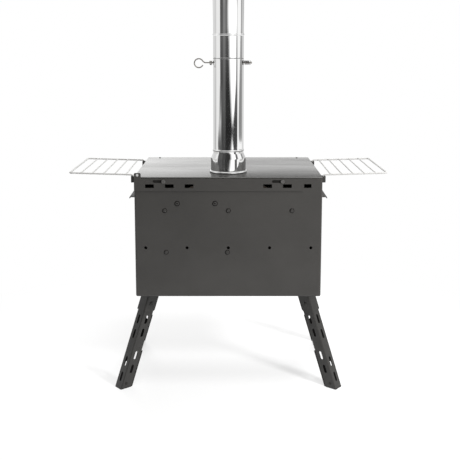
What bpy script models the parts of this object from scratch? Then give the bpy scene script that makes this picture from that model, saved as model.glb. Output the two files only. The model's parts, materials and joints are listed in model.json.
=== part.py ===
# Camp wood stove of bent sheet steel, with folding legs, side racks and a flue.
# Units are metres. The flue side faces -Y, the door side faces +Y, the feet
# stand on z = 0, and the origin is the middle of the base.

import bpy
import bmesh
from math import atan2, cos, hypot, pi, radians, sin, tan
from mathutils import Matrix, Vector

# Sheet, gaps and facets
SHEET = 0.0015
GAP = 0.0003
PLAY = 0.0006
WELD = 0.00001
OVERRUN = 0.010
ARC_STEPS = 3
WIRE_BEND_STEPS = 5
ROUND_STEPS = 14
HOLE_TURN = 0.25
PIPE_STEPS = 40

# Firebox
BODY_WIDTH = 0.450
BODY_DEPTH = 0.350
BODY_HEIGHT = 0.295
BODY_CLEARANCE = 0.2385
TOP_THICKNESS = 0.0025
PANEL_BEND = 0.004
REAR_FLANGE = 0.006
FRONT_FLANGE = 0.020
WRAP_LIP = 0.012
WRAP_BEND = 0.001

# Air ports and sliders
PORT_LENGTH = 0.0209
PORT_HEIGHT = 0.0091
PORT_PITCH = 0.0472
PORT_MARGIN = 0.0265
REAR_PORTS_A_SIDE = 3
REAR_PORT_DROP = 0.0217
FRONT_PORTS = 4
FRONT_PORT_RISE = 0.022
SLIDER_SHEET = 0.0018
SLIDER_GAP = 0.0004
SLIDER_TRAVEL = 0.022
REAR_SLIDER_HEIGHT = 0.0308
REAR_SLIDER_DROP = 0.0034
REAR_SLIDER_END = 0.0443
SLIDER_CORNER = 0.0035
FRONT_SLIDER_HEIGHT = 0.026
FRONT_SLIDER_MARGIN = 0.050
GUIDE_DROP = 0.0105
GUIDE_INSET_LEFT = 0.0704
GUIDE_INSET_RIGHT = 0.0954
GUIDE_SHANK = 0.0030
GUIDE_HEAD = 0.0048
GUIDE_HEAD_HEIGHT = 0.0024
GUIDE_RECESS = 0.0016
TAB_WIDTH = 0.0165
TAB_RISE = 0.0100
TAB_CORNER = 0.003
TAB_HOLE = 0.0032
FRONT_TAB_REACH = 0.014

# Round air holes, and the fasteners that hold the liner
AIR_HOLES = 5
AIR_HOLE_RADIUS = 0.0038
AIR_HOLE_MARGIN = 0.0258
AIR_HOLE_DROP = 0.1730
SCREW_DROP = 0.0641
SCREW_SHARES = (-0.3065, -0.0798)
UPPER_RIVET_DROP = 0.0815
UPPER_RIVET_SHARES = (-0.3813, 0.0, 0.3813)
LOWER_RIVET_DROP = 0.1839
LOWER_RIVET_SHARES = (-0.3750, -0.0060)
FASTENER_SHANK = 0.0022
FASTENER_HEAD = 0.0045
FASTENER_HEAD_HEIGHT = 0.0022
FASTENER_COLLAR = 0.0040
LINER_WIDTH = 0.400
LINER_STANDOFF = 0.010
LINER_TOP_DROP = 0.040
LINER_BOTTOM_DROP = 0.221

# Grate
GRATE_WIDTH = 0.280
GRATE_DEPTH = 0.260
GRATE_RISE = 0.025
GRATE_SHEET = 0.002
GRATE_SLOTS = 9
GRATE_SLOT_LENGTH = 0.200
GRATE_SLOT_WIDTH = 0.012

# Screws that hold the top plate
TOP_SCREW_INSET = 0.033
TOP_SCREW_SETBACK = 0.010
TOP_SCREW_SHANK = 0.0015
TOP_SCREW_HEAD = 0.0029
TOP_SCREW_HEIGHT = 0.0018
TOP_SCREW_LENGTH = 0.009
SPOT_RADIUS = 0.0035
SPOT_DEPTH = 0.0004

# Flue
FLUE_SETBACK = 0.0855
PIPE_RADIUS = 0.038
PIPE_WALL = 0.0008
BELL_RADIUS = 0.043
BELL_HEIGHT = 0.036
BELL_SHOULDER = 0.048
BELL_BEAD = 0.0555
BEAD_STAND = 0.0013
BEAD_HALF = 0.0012
RIM_RADIUS = 0.0025
RIM_STEPS = 5
SPIGOT_LENGTH = 0.056
SPIGOT_GAP = 0.0004
SEAM_HEIGHT = 0.280
UPPER_BEAD_HEIGHT = 0.336
UPPER_LENGTH = 0.165
RING_WALL = 0.0015
RING_HEIGHT = 0.028
RING_FLANGE = 0.010

# Damper
DAMPER_HEIGHT = 0.269
DAMPER_SHEET = 0.0015
DAMPER_PLAY = 0.001
DAMPER_SLEEVE = 0.0032
DAMPER_VENT = 0.009
DAMPER_VENT_OFFSET = 0.018
ROD_RADIUS = 0.0015
LOOP_RADIUS = 0.0108
LOOP_REACH = 0.0340
LOOP_DROP = 0.0013
LOOP_START = 45
LOOP_SWEEP = 290
LOOP_STEPS = 18
LOOP_NECK = 0.0135
COLLAR_RADIUS = 0.0045
COLLAR_LENGTH = 0.0065
COLLAR_SETBACK = 0.0015
SPRING_WIRE = 0.0006
SPRING_RADIUS = 0.0050
SPRING_CURLS = 6
SPRING_LENGTH = 0.0140
CURL_STEPS = 9
WASHER_RADIUS = 0.0052
WASHER_SHEET = 0.0012
ROD_HEAD = 0.0027
ROD_HEAD_LENGTH = 0.003

# Side racks, their saddles and the side ledges
RACK_WIRE = 0.0020
RACK_BAR = 0.0015
RACK_BARS = 5
RACK_BAR_PITCH = 0.0272
RACK_REACH = 0.158
RACK_STAND = 0.0055
RACK_BEND = 0.0042
RACK_RISE = 0.0045
RACK_NEAR = 0.026
RACK_FAR = 0.280
SADDLE_DEPTH = 0.0110
SADDLE_WIDTH = 0.016
SADDLE_HEIGHT = 0.015
SADDLE_DROP = 0.0007
SADDLE_BEND = 0.001
SADDLE_OFFSET = 0.003
RACK_HOOK = 0.0138
LEDGE_REACH = 0.0150
LEDGE_DROP = 0.0497
LEDGE_LIP = 0.0036
LEDGE_SKIRT = 0.018
LEDGE_START = 0.012
LEDGE_END = 0.032
LEDGE_BEND = 0.0008

# Legs
LEG_TILT = radians(21.1)
LEG_HEADING = radians(39.2)
LEG_INSET_X = 0.0303
LEG_INSET_Y = 0.0552
LEG_FLANGE = 0.027
LEG_BEND = 0.0015
BRACKET_SHEET = 0.002
BRACKET_FLANGE = 0.031
BRACKET_LENGTH = 0.0560
BRACKET_CORNER = 0.010
BRACKET_PLATE_MARGIN = 0.004
PIVOT_DROP = 0.0339
PIVOT_INSET = 0.014
PIVOT_SHANK = 0.0030
PIVOT_HEAD = 0.0058
PIVOT_TAIL = 0.0050
PIVOT_TAIL_HEIGHT = 0.0015
LEG_END_RADIUS = 0.0122
LEG_END_STEP = 0.001
SLOT_INSET = 0.0142
SLOT_WIDTH = 0.0075
INNER_SLOT_LENGTH = 0.0215
OUTER_SLOT_LENGTH = 0.0240
INNER_SLOTS_FROM_FOOT = (0.0547, 0.0891)
INNER_SLOTS_FROM_PIVOT = (0.0748, 0.0413)
OUTER_SLOTS_FROM_FOOT = (0.0298, 0.0690)
OUTER_SLOTS_FROM_PIVOT = (0.0823, 0.0442)
LINER_LENGTH = 0.103
LINER_INNER_FLANGE = 0.030
LINER_OUTER_FLANGE = 0.027
LINER_OUTER_SLOT = 0.0573
FOOT_RIVET_RISE = 0.0175
FOOT_RIVET_INSET = 0.011
FOOT_RIVET_HEAD = 0.0038
FOOT_RIVET_SHANK = 0.0022
FOOT_RIVET_HEIGHT = 0.0016

# Door
DOOR_WIDTH = 0.330
DOOR_HEIGHT = 0.200
DOOR_DEPTH = 0.010
DOOR_RISE = 0.158
DOOR_STAND = 0.0005
DOOR_LAP = 0.015
DOOR_BEND = 0.005
WINDOW_WIDTH = 0.226
WINDOW_HEIGHT = 0.106
WINDOW_CORNER = 0.010
GLASS_LAP = 0.010
GLASS_THICKNESS = 0.004
RETAINER_LAP = 0.012
RETAINER_STUD = 0.0020
RETAINER_STUD_HEAD = 0.0040
RETAINER_STUD_HEIGHT = 0.0020
HINGE_OUT = 0.0055
KNUCKLE_RADIUS = 0.0045
KNUCKLE_LENGTH = 0.020
KNUCKLE_BITE = 0.0005
LUG_LENGTH = 0.018
LUG_PLAY = 0.001
LUG_LEAF = 0.024
LUG_SHEET = 0.002
PIN_RADIUS = 0.0025
PIN_OVERHANG = 0.003
PIN_HEAD = 0.0040
PIN_HEAD_HEIGHT = 0.002

# Latch
LATCH_SETBACK = 0.010
LATCH_SHAFT = 0.0030
LATCH_BOSS = 0.0070
LATCH_ROD = 0.0025
LATCH_ROD_OUT = 0.012
LATCH_REACH = 0.070
GRIP_START = 0.020
GRIP_END_RADIUS = 0.0055
GRIP_RADIUS = 0.0078
CAM_SHEET = 0.0025
CAM_BEHIND = 0.0008
CAM_LENGTH = 0.024
CAM_WIDTH = 0.014

# Heights of the firebox
TOP_Z = BODY_CLEARANCE + BODY_HEIGHT
PLATE_UNDER = TOP_Z - TOP_THICKNESS
PANEL_TOP = PLATE_UNDER - GAP
PANEL_HEIGHT = PANEL_TOP - BODY_CLEARANCE
LAP = SHEET + GAP
WRAP_TOP = PANEL_TOP - LAP
WRAP_BOTTOM = BODY_CLEARANCE + LAP
WALL_X = BODY_WIDTH / 2 - LAP

# Places along Y: the reach of the rear screws and of the latch set the middle
DOOR_FACE = DOOR_STAND + DOOR_DEPTH
REAR_REACH = SLIDER_GAP + SLIDER_SHEET + GAP + GUIDE_HEAD_HEIGHT
FRONT_REACH = DOOR_FACE + LATCH_ROD_OUT + GRIP_RADIUS
REAR_Y = REAR_REACH - (REAR_REACH + BODY_DEPTH + FRONT_REACH) / 2
FRONT_Y = REAR_Y + BODY_DEPTH
MIDDLE_Y = REAR_Y + BODY_DEPTH / 2
FLUE_Y = REAR_Y + FLUE_SETBACK
DAMPER_Z = TOP_Z + DAMPER_HEIGHT
DOOR_Z = BODY_CLEARANCE + DOOR_RISE
LATCH_X = -(DOOR_WIDTH / 2 - DOOR_LAP - LATCH_SETBACK)
HINGE_X = DOOR_WIDTH / 2 + KNUCKLE_RADIUS - KNUCKLE_BITE
HINGE_Y = FRONT_Y + HINGE_OUT

X_AXIS = Vector((1, 0, 0))
Y_AXIS = Vector((0, 1, 0))
Z_AXIS = Vector((0, 0, 1))

# Finishes: linear colour, roughness, metallic
PAINTED_STEEL = ((0.068, 0.066, 0.062), 0.55, 0.0)
BLACK_STEEL = ((0.030, 0.030, 0.029), 0.50, 0.0)
STAINLESS = ((0.620, 0.610, 0.590), 0.12, 1.0)
ZINC_STEEL = ((0.300, 0.295, 0.285), 0.35, 1.0)
STEEL_PLATE = ((0.110, 0.108, 0.104), 0.30, 0.6)
CAST_IRON = ((0.050, 0.048, 0.046), 0.70, 0.3)
GRIP_BLACK = ((0.020, 0.020, 0.020), 0.45, 0.0)
CERAMIC_GLASS = ((0.060, 0.045, 0.035), 0.05, 0.0)


# Scene and placing

def clear_scene():
    for item in list(bpy.data.objects):
        bpy.data.objects.remove(item)


def new_collection(name):
    collection = bpy.data.collections.new(name)
    bpy.context.scene.collection.children.link(collection)
    return collection


def place(name, data, matrix=None):
    item = bpy.data.objects.new(name, data)
    PARTS.objects.link(item)
    if matrix is not None:
        item.matrix_world = matrix
    return item


def finish(item, look):
    colour, roughness, metallic = look
    material = bpy.data.materials.new(item.name + "_finish")
    material.use_nodes = True
    shader = material.node_tree.nodes["Principled BSDF"]
    shader.inputs["Base Color"].default_value = (*colour, 1.0)
    shader.inputs["Roughness"].default_value = roughness
    shader.inputs["Metallic"].default_value = metallic
    item.data.materials.clear()
    item.data.materials.append(material)
    return item


def joint_at(name, point, *pieces):
    """Empty on a joint's axis, which carries the pieces that move with it."""
    joint = bpy.data.objects.new(name, None)
    joint.empty_display_size = 0.03
    PARTS.objects.link(joint)
    joint.location = point
    bpy.context.view_layer.update()
    for piece in pieces:
        piece.parent = joint
        piece.matrix_parent_inverse = joint.matrix_world.inverted()
    return joint


def as_cutter(tool):
    PARTS.objects.unlink(tool)
    CUTTERS.objects.link(tool)
    tool.hide_render = True
    tool.display_type = "WIRE"


def combine(piece, tool, operation):
    as_cutter(tool)
    modifier = piece.modifiers.new(operation.lower() + "_" + tool.name, "BOOLEAN")
    modifier.operation = operation
    modifier.object = tool


def cut(piece, *tools):
    for tool in tools:
        combine(piece, tool, "DIFFERENCE")


def join(piece, *tools):
    for tool in tools:
        combine(piece, tool, "UNION")


def as_mesh(source):
    """Turn a curve or a screw profile into a welded, smooth-shaded mesh."""
    bpy.context.view_layer.update()
    graph = bpy.context.evaluated_depsgraph_get()
    mesh = bpy.data.meshes.new_from_object(source.evaluated_get(graph))
    work = bmesh.new()
    work.from_mesh(mesh)
    bmesh.ops.remove_doubles(work, verts=work.verts, dist=WELD)
    bmesh.ops.recalc_face_normals(work, faces=work.faces)
    work.to_mesh(mesh)
    work.free()
    mesh.shade_smooth()
    mesh.set_sharp_from_angle(angle=radians(35))
    name = source.name
    matrix = source.matrix_world.copy()
    bpy.data.objects.remove(source)
    mesh.name = name
    return place(name, mesh, matrix)


# Outlines: flat lists of points, with round stretches worked out

def turned_by(point, angle):
    return Vector((point.x * cos(angle) - point.y * sin(angle),
                   point.x * sin(angle) + point.y * cos(angle)))


def rounded(corners, steps=ARC_STEPS):
    """Outline through (u, v, radius) corners, each with its radius."""
    outline = []
    for index, (u, v, radius) in enumerate(corners):
        corner = Vector((u, v))
        if radius == 0:
            outline.append((u, v))
            continue
        before = (Vector(corners[index - 1][:2]) - corner).normalized()
        after = (Vector(corners[(index + 1) % len(corners)][:2]) - corner).normalized()
        half = before.angle(after) / 2
        centre = corner + (before + after).normalized() * radius / sin(half)
        start = corner + before * radius / tan(half) - centre
        end = corner + after * radius / tan(half) - centre
        sweep = atan2(start.x * end.y - start.y * end.x, start.dot(end))
        for step in range(steps + 1):
            outline.append(tuple(centre + turned_by(start, sweep * step / steps)))
    return outline


def rectangle(u, v, width, height, radius=0.0):
    a, b = width / 2, height / 2
    return rounded([(u - a, v - b, radius), (u + a, v - b, radius),
                    (u + a, v + b, radius), (u - a, v + b, radius)])


def circle(u, v, radius, steps=ROUND_STEPS, turn=0):
    """Round outline, whose points are turned by a share of one step."""
    angles = [2 * pi * (step + turn) / steps for step in range(steps)]
    return [(u + radius * cos(angle), v + radius * sin(angle)) for angle in angles]


def stadium(u, v, length, width, upright):
    """Round-ended slot centred on u, v."""
    radius = width / 2
    reach = length / 2 - radius
    outline = []
    for end, first in ((1, -pi / 2), (-1, pi / 2)):
        for step in range(2 * ARC_STEPS + 1):
            angle = first + pi * step / (2 * ARC_STEPS)
            along = end * reach + radius * cos(angle)
            across = radius * sin(angle)
            outline.append((u - across, v + along) if upright else (u + along, v + across))
    return outline


def bent_strip(line, thickness, inner_radius):
    """Outline of a bent sheet whose middle line runs through the points."""
    radius = inner_radius + thickness / 2
    points = [Vector(point) for point in line]
    left, right = [], []

    def add(point, normal):
        left.append(tuple(point + normal * thickness / 2))
        right.append(tuple(point - normal * thickness / 2))

    def side_of(direction):
        return Vector((-direction.y, direction.x))

    add(points[0], side_of((points[1] - points[0]).normalized()))
    for before, corner, after in zip(points, points[1:], points[2:]):
        arriving = (corner - before).normalized()
        leaving = (after - corner).normalized()
        bend = atan2(arriving.x * leaving.y - arriving.y * leaving.x, arriving.dot(leaving))
        turn = 1 if bend > 0 else -1
        start = corner - arriving * radius * tan(abs(bend) / 2)
        centre = start + side_of(arriving) * turn * radius
        for step in range(ARC_STEPS + 1):
            normal = turned_by(side_of(arriving), bend * step / ARC_STEPS)
            add(centre - normal * turn * radius, normal)
    add(points[-1], side_of((points[-1] - points[-2]).normalized()))
    return left + right[::-1]


def angle_section(inner_flange, outer_flange, thickness, start):
    """Section of an angle with its outer corner at start, start."""
    middle = start + thickness / 2
    return bent_strip([(start + inner_flange, middle), (middle, middle),
                       (middle, start + outer_flange)], thickness, LEG_BEND)


# Solids

def extrusion(name, outlines, low, high, u, v, w, origin=(0, 0, 0)):
    """Flat outlines in u and v, the first with the rest as holes, run along w."""
    u, v, w = Vector(u), Vector(v), Vector(w)
    if u.cross(v).dot(w) < 0:
        u, v = v, u
        outlines = [[(b, a) for a, b in outline] for outline in outlines]
    curve = bpy.data.curves.new(name, "CURVE")
    curve.dimensions = "2D"
    curve.fill_mode = "BOTH"
    curve.extrude = (high - low) / 2
    for outline in outlines:
        spline = curve.splines.new("POLY")
        spline.points.add(len(outline) - 1)
        for point, (a, b) in zip(spline.points, outline):
            point.co = (a, b, 0, 1)
        spline.use_cyclic_u = True
    matrix = Matrix((u, v, w)).transposed().to_4x4()
    matrix.translation = Vector(origin) + w * (low + high) / 2
    return as_mesh(place(name, curve, matrix))


def upright_sheet(name, outlines, low, high):
    """Plate in the X-Z plane, between two places along Y."""
    return extrusion(name, outlines, low, high, X_AXIS, Z_AXIS, Y_AXIS)


def level_sheet(name, outlines, low, high):
    """Plate in the X-Y plane, between two heights."""
    return extrusion(name, outlines, low, high, X_AXIS, Y_AXIS, Z_AXIS)


def block(name, low, high):
    middle = (Vector(low) + Vector(high)) / 2
    size = Vector(high) - Vector(low)
    work = bmesh.new()
    bmesh.ops.create_cube(work, size=1)
    for vert in work.verts:
        vert.co = Vector(a * b for a, b in zip(vert.co, size))
    mesh = bpy.data.meshes.new(name)
    work.to_mesh(mesh)
    work.free()
    return place(name, mesh, Matrix.Translation(middle))


def turned(name, profile, origin, axis, steps=ROUND_STEPS):
    """Turned solid: the profile runs down its outer side, as (radius, height)."""
    mesh = bpy.data.meshes.new(name)
    edges = [(index, index + 1) for index in range(len(profile) - 1)]
    if profile[0][0] > 0:
        edges.append((len(profile) - 1, 0))
    mesh.from_pydata([(radius, 0, height) for radius, height in profile], edges, [])
    matrix = Vector(axis).to_track_quat("Z", "Y").to_matrix().to_4x4()
    matrix.translation = Vector(origin)
    piece = place(name, mesh, matrix)
    screw = piece.modifiers.new("turn", "SCREW")
    screw.steps = steps
    screw.render_steps = steps
    screw.use_merge_vertices = True
    screw.merge_threshold = WELD
    return as_mesh(piece)


def rod(name, radius, low, high, origin, axis, steps=ROUND_STEPS):
    return turned(name, [(0, high), (radius, high), (radius, low), (0, low)], origin, axis, steps)


def ring(name, outer, inner, low, high, origin, axis, steps=ROUND_STEPS):
    return turned(name, [(outer, high), (outer, low), (inner, low), (inner, high)],
                  origin, axis, steps)


def wire(name, points, radius, resolution=2, cyclic=False):
    curve = bpy.data.curves.new(name, "CURVE")
    curve.dimensions = "3D"
    curve.fill_mode = "FULL"
    curve.bevel_depth = radius
    curve.bevel_resolution = resolution
    curve.use_fill_caps = True
    spline = curve.splines.new("POLY")
    spline.points.add(len(points) - 1)
    for point, place_at in zip(spline.points, points):
        point.co = (*place_at, 1)
    spline.use_cyclic_u = cyclic
    return as_mesh(place(name, curve))


def rounded_path(points, radius):
    """Path in space with an arc at each inner corner."""
    points = [Vector(point) for point in points]
    path = [points[0]]
    for before, corner, after in zip(points, points[1:], points[2:]):
        arriving = (corner - before).normalized()
        leaving = (after - corner).normalized()
        half = (-arriving).angle(leaving) / 2
        centre = corner + (leaving - arriving).normalized() * radius / sin(half)
        start = corner - arriving * radius / tan(half) - centre
        end = corner + leaving * radius / tan(half) - centre
        for step in range(WIRE_BEND_STEPS + 1):
            share = step / WIRE_BEND_STEPS
            path.append(centre + start.slerp(end, share).normalized() * radius)
    return path + [points[-1]]


def tray(name, low, high, bend, open_side):
    """Sheet panel with a flange all round, open on one side along Y."""
    piece = block(name, low, high)
    work = bmesh.new()
    work.from_mesh(piece.data)
    open_faces = [face for face in work.faces if face.normal.y * open_side > 0.5]
    bmesh.ops.delete(work, geom=open_faces, context="FACES")
    work.to_mesh(piece.data)
    work.free()
    piece.data.shade_smooth()
    piece.data.set_sharp_from_angle(angle=radians(35))
    bends = piece.modifiers.new("bends", "BEVEL")
    bends.width = bend
    bends.segments = 3
    bends.limit_method = "ANGLE"
    sheet = piece.modifiers.new("sheet", "SOLIDIFY")
    sheet.thickness = SHEET
    sheet.offset = -1
    sheet.use_even_offset = True
    return piece


# Heads, as (radius, height) above the face that they sit on

def dome(radius, height):
    steps = ARC_STEPS
    return [(radius * sin(pi / 2 * step / steps), height * cos(pi / 2 * step / steps))
            for step in range(steps + 1)]


def socket_head(radius, height, recess):
    chamfer = height / 4
    return [(0, height / 3), (recess, height / 3), (recess, height),
            (radius - chamfer, height), (radius, height - chamfer), (radius, 0)]


def raised(head, base):
    return [(radius, height + base) for radius, height in head]


# Firebox

def rear_ports():
    """Middle of each rear air port along X."""
    outermost = BODY_WIDTH / 2 - PORT_MARGIN - PORT_LENGTH / 2
    offsets = [outermost - index * PORT_PITCH for index in range(REAR_PORTS_A_SIDE)]
    return sorted([-offset for offset in offsets] + offsets)


def front_ports():
    return [(index - (FRONT_PORTS - 1) / 2) * PORT_PITCH for index in range(FRONT_PORTS)]


def rear_guides():
    return (-BODY_WIDTH / 2 + GUIDE_INSET_LEFT, BODY_WIDTH / 2 - GUIDE_INSET_RIGHT)


def front_guides():
    ends = front_ports()
    reach = PORT_LENGTH / 2 + PORT_PITCH / 4 + guide_slot_length() / 2
    return (ends[0] - reach + SLIDER_TRAVEL / 2, ends[-1] + reach + SLIDER_TRAVEL / 2)


def guide_slot_length():
    return SLIDER_TRAVEL + 2 * (GUIDE_SHANK + PLAY)


def liner_fasteners():
    """Name, place along X, height and kind of each liner fastener."""
    rows = [("liner_screw", SCREW_SHARES, SCREW_DROP),
            ("upper_rivet", UPPER_RIVET_SHARES, UPPER_RIVET_DROP),
            ("lower_rivet", LOWER_RIVET_SHARES, LOWER_RIVET_DROP)]
    return [(f"{kind}_{index + 1}", share * LINER_WIDTH, TOP_Z - drop, kind == "liner_screw")
            for kind, shares, drop in rows for index, share in enumerate(shares)]


def firebox_wrap():
    """Two sides and the bottom, bent from one sheet, with a lip under the top."""
    half = SHEET / 2
    side, top, bottom = WALL_X - half, WRAP_TOP - half, WRAP_BOTTOM + half
    line = [(-side + WRAP_LIP, top), (-side, top), (-side, bottom),
            (side, bottom), (side, top), (side - WRAP_LIP, top)]
    outline = bent_strip(line, SHEET, WRAP_BEND)
    clear = PANEL_BEND + GAP
    piece = upright_sheet("firebox_wrap", [outline], REAR_Y + clear, FRONT_Y - clear)
    return finish(piece, PAINTED_STEEL)


def rear_panel():
    low = (-BODY_WIDTH / 2, REAR_Y, BODY_CLEARANCE)
    high = (BODY_WIDTH / 2, REAR_Y + REAR_FLANGE, PANEL_TOP)
    piece = tray("rear_panel", low, high, PANEL_BEND, 1)
    port_z = TOP_Z - REAR_PORT_DROP
    ends = (REAR_Y - OVERRUN, REAR_Y + OVERRUN)
    for index, x in enumerate(rear_ports()):
        outline = rectangle(x, port_z, PORT_LENGTH, PORT_HEIGHT)
        cut(piece, upright_sheet(f"rear_port_{index + 1}", [outline], *ends))
    pitch = (BODY_WIDTH - 2 * AIR_HOLE_MARGIN) / (AIR_HOLES - 1)
    for index in range(AIR_HOLES):
        x = -BODY_WIDTH / 2 + AIR_HOLE_MARGIN + index * pitch
        outline = circle(x, TOP_Z - AIR_HOLE_DROP, AIR_HOLE_RADIUS)
        cut(piece, upright_sheet(f"air_hole_{index + 1}", [outline], *ends))
    for name, x, z, _ in liner_fasteners():
        outline = circle(x, z, FASTENER_SHANK + GAP)
        cut(piece, upright_sheet(name + "_hole", [outline], *ends))
    for index, x in enumerate(rear_guides()):
        outline = circle(x, TOP_Z - GUIDE_DROP, GUIDE_SHANK + GAP)
        cut(piece, upright_sheet(f"rear_guide_hole_{index + 1}", [outline], *ends))
    return finish(piece, PAINTED_STEEL)


def front_panel():
    low = (-BODY_WIDTH / 2, FRONT_Y - FRONT_FLANGE, BODY_CLEARANCE)
    high = (BODY_WIDTH / 2, FRONT_Y, PANEL_TOP)
    piece = tray("front_panel", low, high, PANEL_BEND, -1)
    ends = (FRONT_Y - OVERRUN, FRONT_Y + OVERRUN)
    opening = rectangle(0, DOOR_Z, DOOR_WIDTH - 2 * DOOR_LAP, DOOR_HEIGHT - 2 * DOOR_LAP,
                        DOOR_BEND)
    cut(piece, upright_sheet("door_opening", [opening], *ends))
    port_z = BODY_CLEARANCE + FRONT_PORT_RISE
    for index, x in enumerate(front_ports()):
        outline = rectangle(x, port_z, PORT_LENGTH, PORT_HEIGHT)
        cut(piece, upright_sheet(f"front_port_{index + 1}", [outline], *ends))
    for index, x in enumerate(front_guides()):
        outline = circle(x, port_z, GUIDE_SHANK + GAP)
        cut(piece, upright_sheet(f"front_guide_hole_{index + 1}", [outline], *ends))
    for index, x in enumerate(top_screw_places()):
        hole = rod(f"top_screw_hole_{index + 1}", TOP_SCREW_SHANK + GAP, -OVERRUN, GAP,
                   (x, FRONT_Y - TOP_SCREW_SETBACK, PLATE_UNDER), Z_AXIS)
        cut(piece, hole)
    return finish(piece, PAINTED_STEEL)


def top_screw_places():
    reach = BODY_WIDTH / 2 - TOP_SCREW_INSET
    return (-reach, reach)


def top_plate():
    plate = rectangle(0, MIDDLE_Y, BODY_WIDTH, BODY_DEPTH, PANEL_BEND)
    bore = circle(0, FLUE_Y, ring_radius() + GAP, PIPE_STEPS)
    screw_y = FRONT_Y - TOP_SCREW_SETBACK
    # The second hole's points are turned, so that none are level with those of the first
    holes = [circle(x, screw_y, TOP_SCREW_SHANK + GAP, turn=index * HOLE_TURN)
             for index, x in enumerate(top_screw_places())]
    piece = level_sheet("top_plate", [plate, bore, *holes], PLATE_UNDER, TOP_Z)
    for index, x in enumerate(top_screw_places()):
        cut(piece, rod(f"top_screw_spot_{index + 1}", SPOT_RADIUS, -SPOT_DEPTH, OVERRUN,
                       (x, screw_y, TOP_Z), Z_AXIS))
    return finish(piece, STEEL_PLATE)


def top_screws():
    """Two screws, each with its head in a shallow spot face."""
    for index, x in enumerate(top_screw_places()):
        head = raised(dome(TOP_SCREW_HEAD, TOP_SCREW_HEIGHT), GAP)
        profile = head + [(TOP_SCREW_SHANK, GAP), (TOP_SCREW_SHANK, -TOP_SCREW_LENGTH),
                          (0, -TOP_SCREW_LENGTH)]
        name = "top_screw_" + ("left", "right")[index]
        place_at = (x, FRONT_Y - TOP_SCREW_SETBACK, TOP_Z - SPOT_DEPTH)
        finish(turned(name, profile, place_at, Z_AXIS), ZINC_STEEL)


def rear_liner():
    """Heat shield inside the rear panel, with a foot that closes its bottom."""
    face = REAR_Y + SHEET + LINER_STANDOFF + SHEET / 2
    foot = TOP_Z - LINER_BOTTOM_DROP
    line = [(face, TOP_Z - LINER_TOP_DROP), (face, foot), (REAR_Y + SHEET + GAP, foot)]
    outline = bent_strip(line, SHEET, WRAP_BEND)
    piece = extrusion("rear_liner", [outline], -LINER_WIDTH / 2, LINER_WIDTH / 2,
                      Y_AXIS, Z_AXIS, X_AXIS)
    for name, x, z, _ in liner_fasteners():
        outline = circle(x, z, FASTENER_SHANK + GAP)
        cut(piece, upright_sheet(name + "_liner_hole", [outline], face - SHEET, face + SHEET))
    return finish(piece, BLACK_STEEL)


def liner_fastener(name, x, z, is_screw):
    """Head outside, a collar that spaces the liner, and a tail inside."""
    if is_screw:
        head = socket_head(FASTENER_HEAD, FASTENER_HEAD_HEIGHT, GUIDE_RECESS)
    else:
        head = dome(FASTENER_HEAD, FASTENER_HEAD_HEIGHT)
    shank = FASTENER_SHANK
    collar_top = -SHEET - GAP
    collar_bottom = -SHEET - LINER_STANDOFF + GAP
    tail_top = -SHEET - LINER_STANDOFF - SHEET - GAP
    tail_end = tail_top - FASTENER_HEAD_HEIGHT
    tail = [(FASTENER_HEAD, tail_top), (FASTENER_COLLAR, tail_end), (0, tail_end)]
    profile = raised(head, GAP) + [
        (shank, GAP), (shank, collar_top), (FASTENER_COLLAR, collar_top),
        (FASTENER_COLLAR, collar_bottom), (shank, collar_bottom), (shank, tail_top)] + tail
    return finish(turned(name, profile, (x, REAR_Y, z), -Y_AXIS), PAINTED_STEEL)


def grate():
    """Slotted plate on two bent sides that stand on the bottom."""
    half = GRATE_SHEET / 2
    foot = WRAP_BOTTOM + SHEET + GAP
    top = foot + GRATE_RISE
    side = GRATE_WIDTH / 2 - half
    line = [(-side, foot), (-side, top), (side, top), (side, foot)]
    outline = bent_strip(line, GRATE_SHEET, WRAP_BEND)
    ends = (MIDDLE_Y - GRATE_DEPTH / 2, MIDDLE_Y + GRATE_DEPTH / 2)
    piece = upright_sheet("grate", [outline], *ends)
    pitch = GRATE_WIDTH / (GRATE_SLOTS + 1)
    for index in range(GRATE_SLOTS):
        x = (index - (GRATE_SLOTS - 1) / 2) * pitch
        slot = stadium(x, MIDDLE_Y, GRATE_SLOT_LENGTH, GRATE_SLOT_WIDTH, True)
        cut(piece, level_sheet(f"grate_slot_{index + 1}", [slot], top - OVERRUN, top + OVERRUN))
    return finish(piece, CAST_IRON)


# Air sliders

def guide_screw(name, x, z, face, outward):
    """Screw that passes through a slider's slot and the panel behind it."""
    base = SLIDER_GAP + SLIDER_SHEET + GAP
    head = raised(socket_head(GUIDE_HEAD, GUIDE_HEAD_HEIGHT, GUIDE_RECESS), base)
    end = -SHEET - PANEL_BEND / 2
    profile = head + [(GUIDE_SHANK, base), (GUIDE_SHANK, end), (0, end)]
    return finish(turned(name, profile, (x, face, z), Y_AXIS * outward), ZINC_STEEL)


def guide_slot(x, z):
    """Slot with the screw at its right-hand end while the slider is open."""
    length = guide_slot_length()
    middle = x + GUIDE_SHANK + PLAY - length / 2
    return stadium(middle, z, length, 2 * (GUIDE_SHANK + GAP), False)


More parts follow.
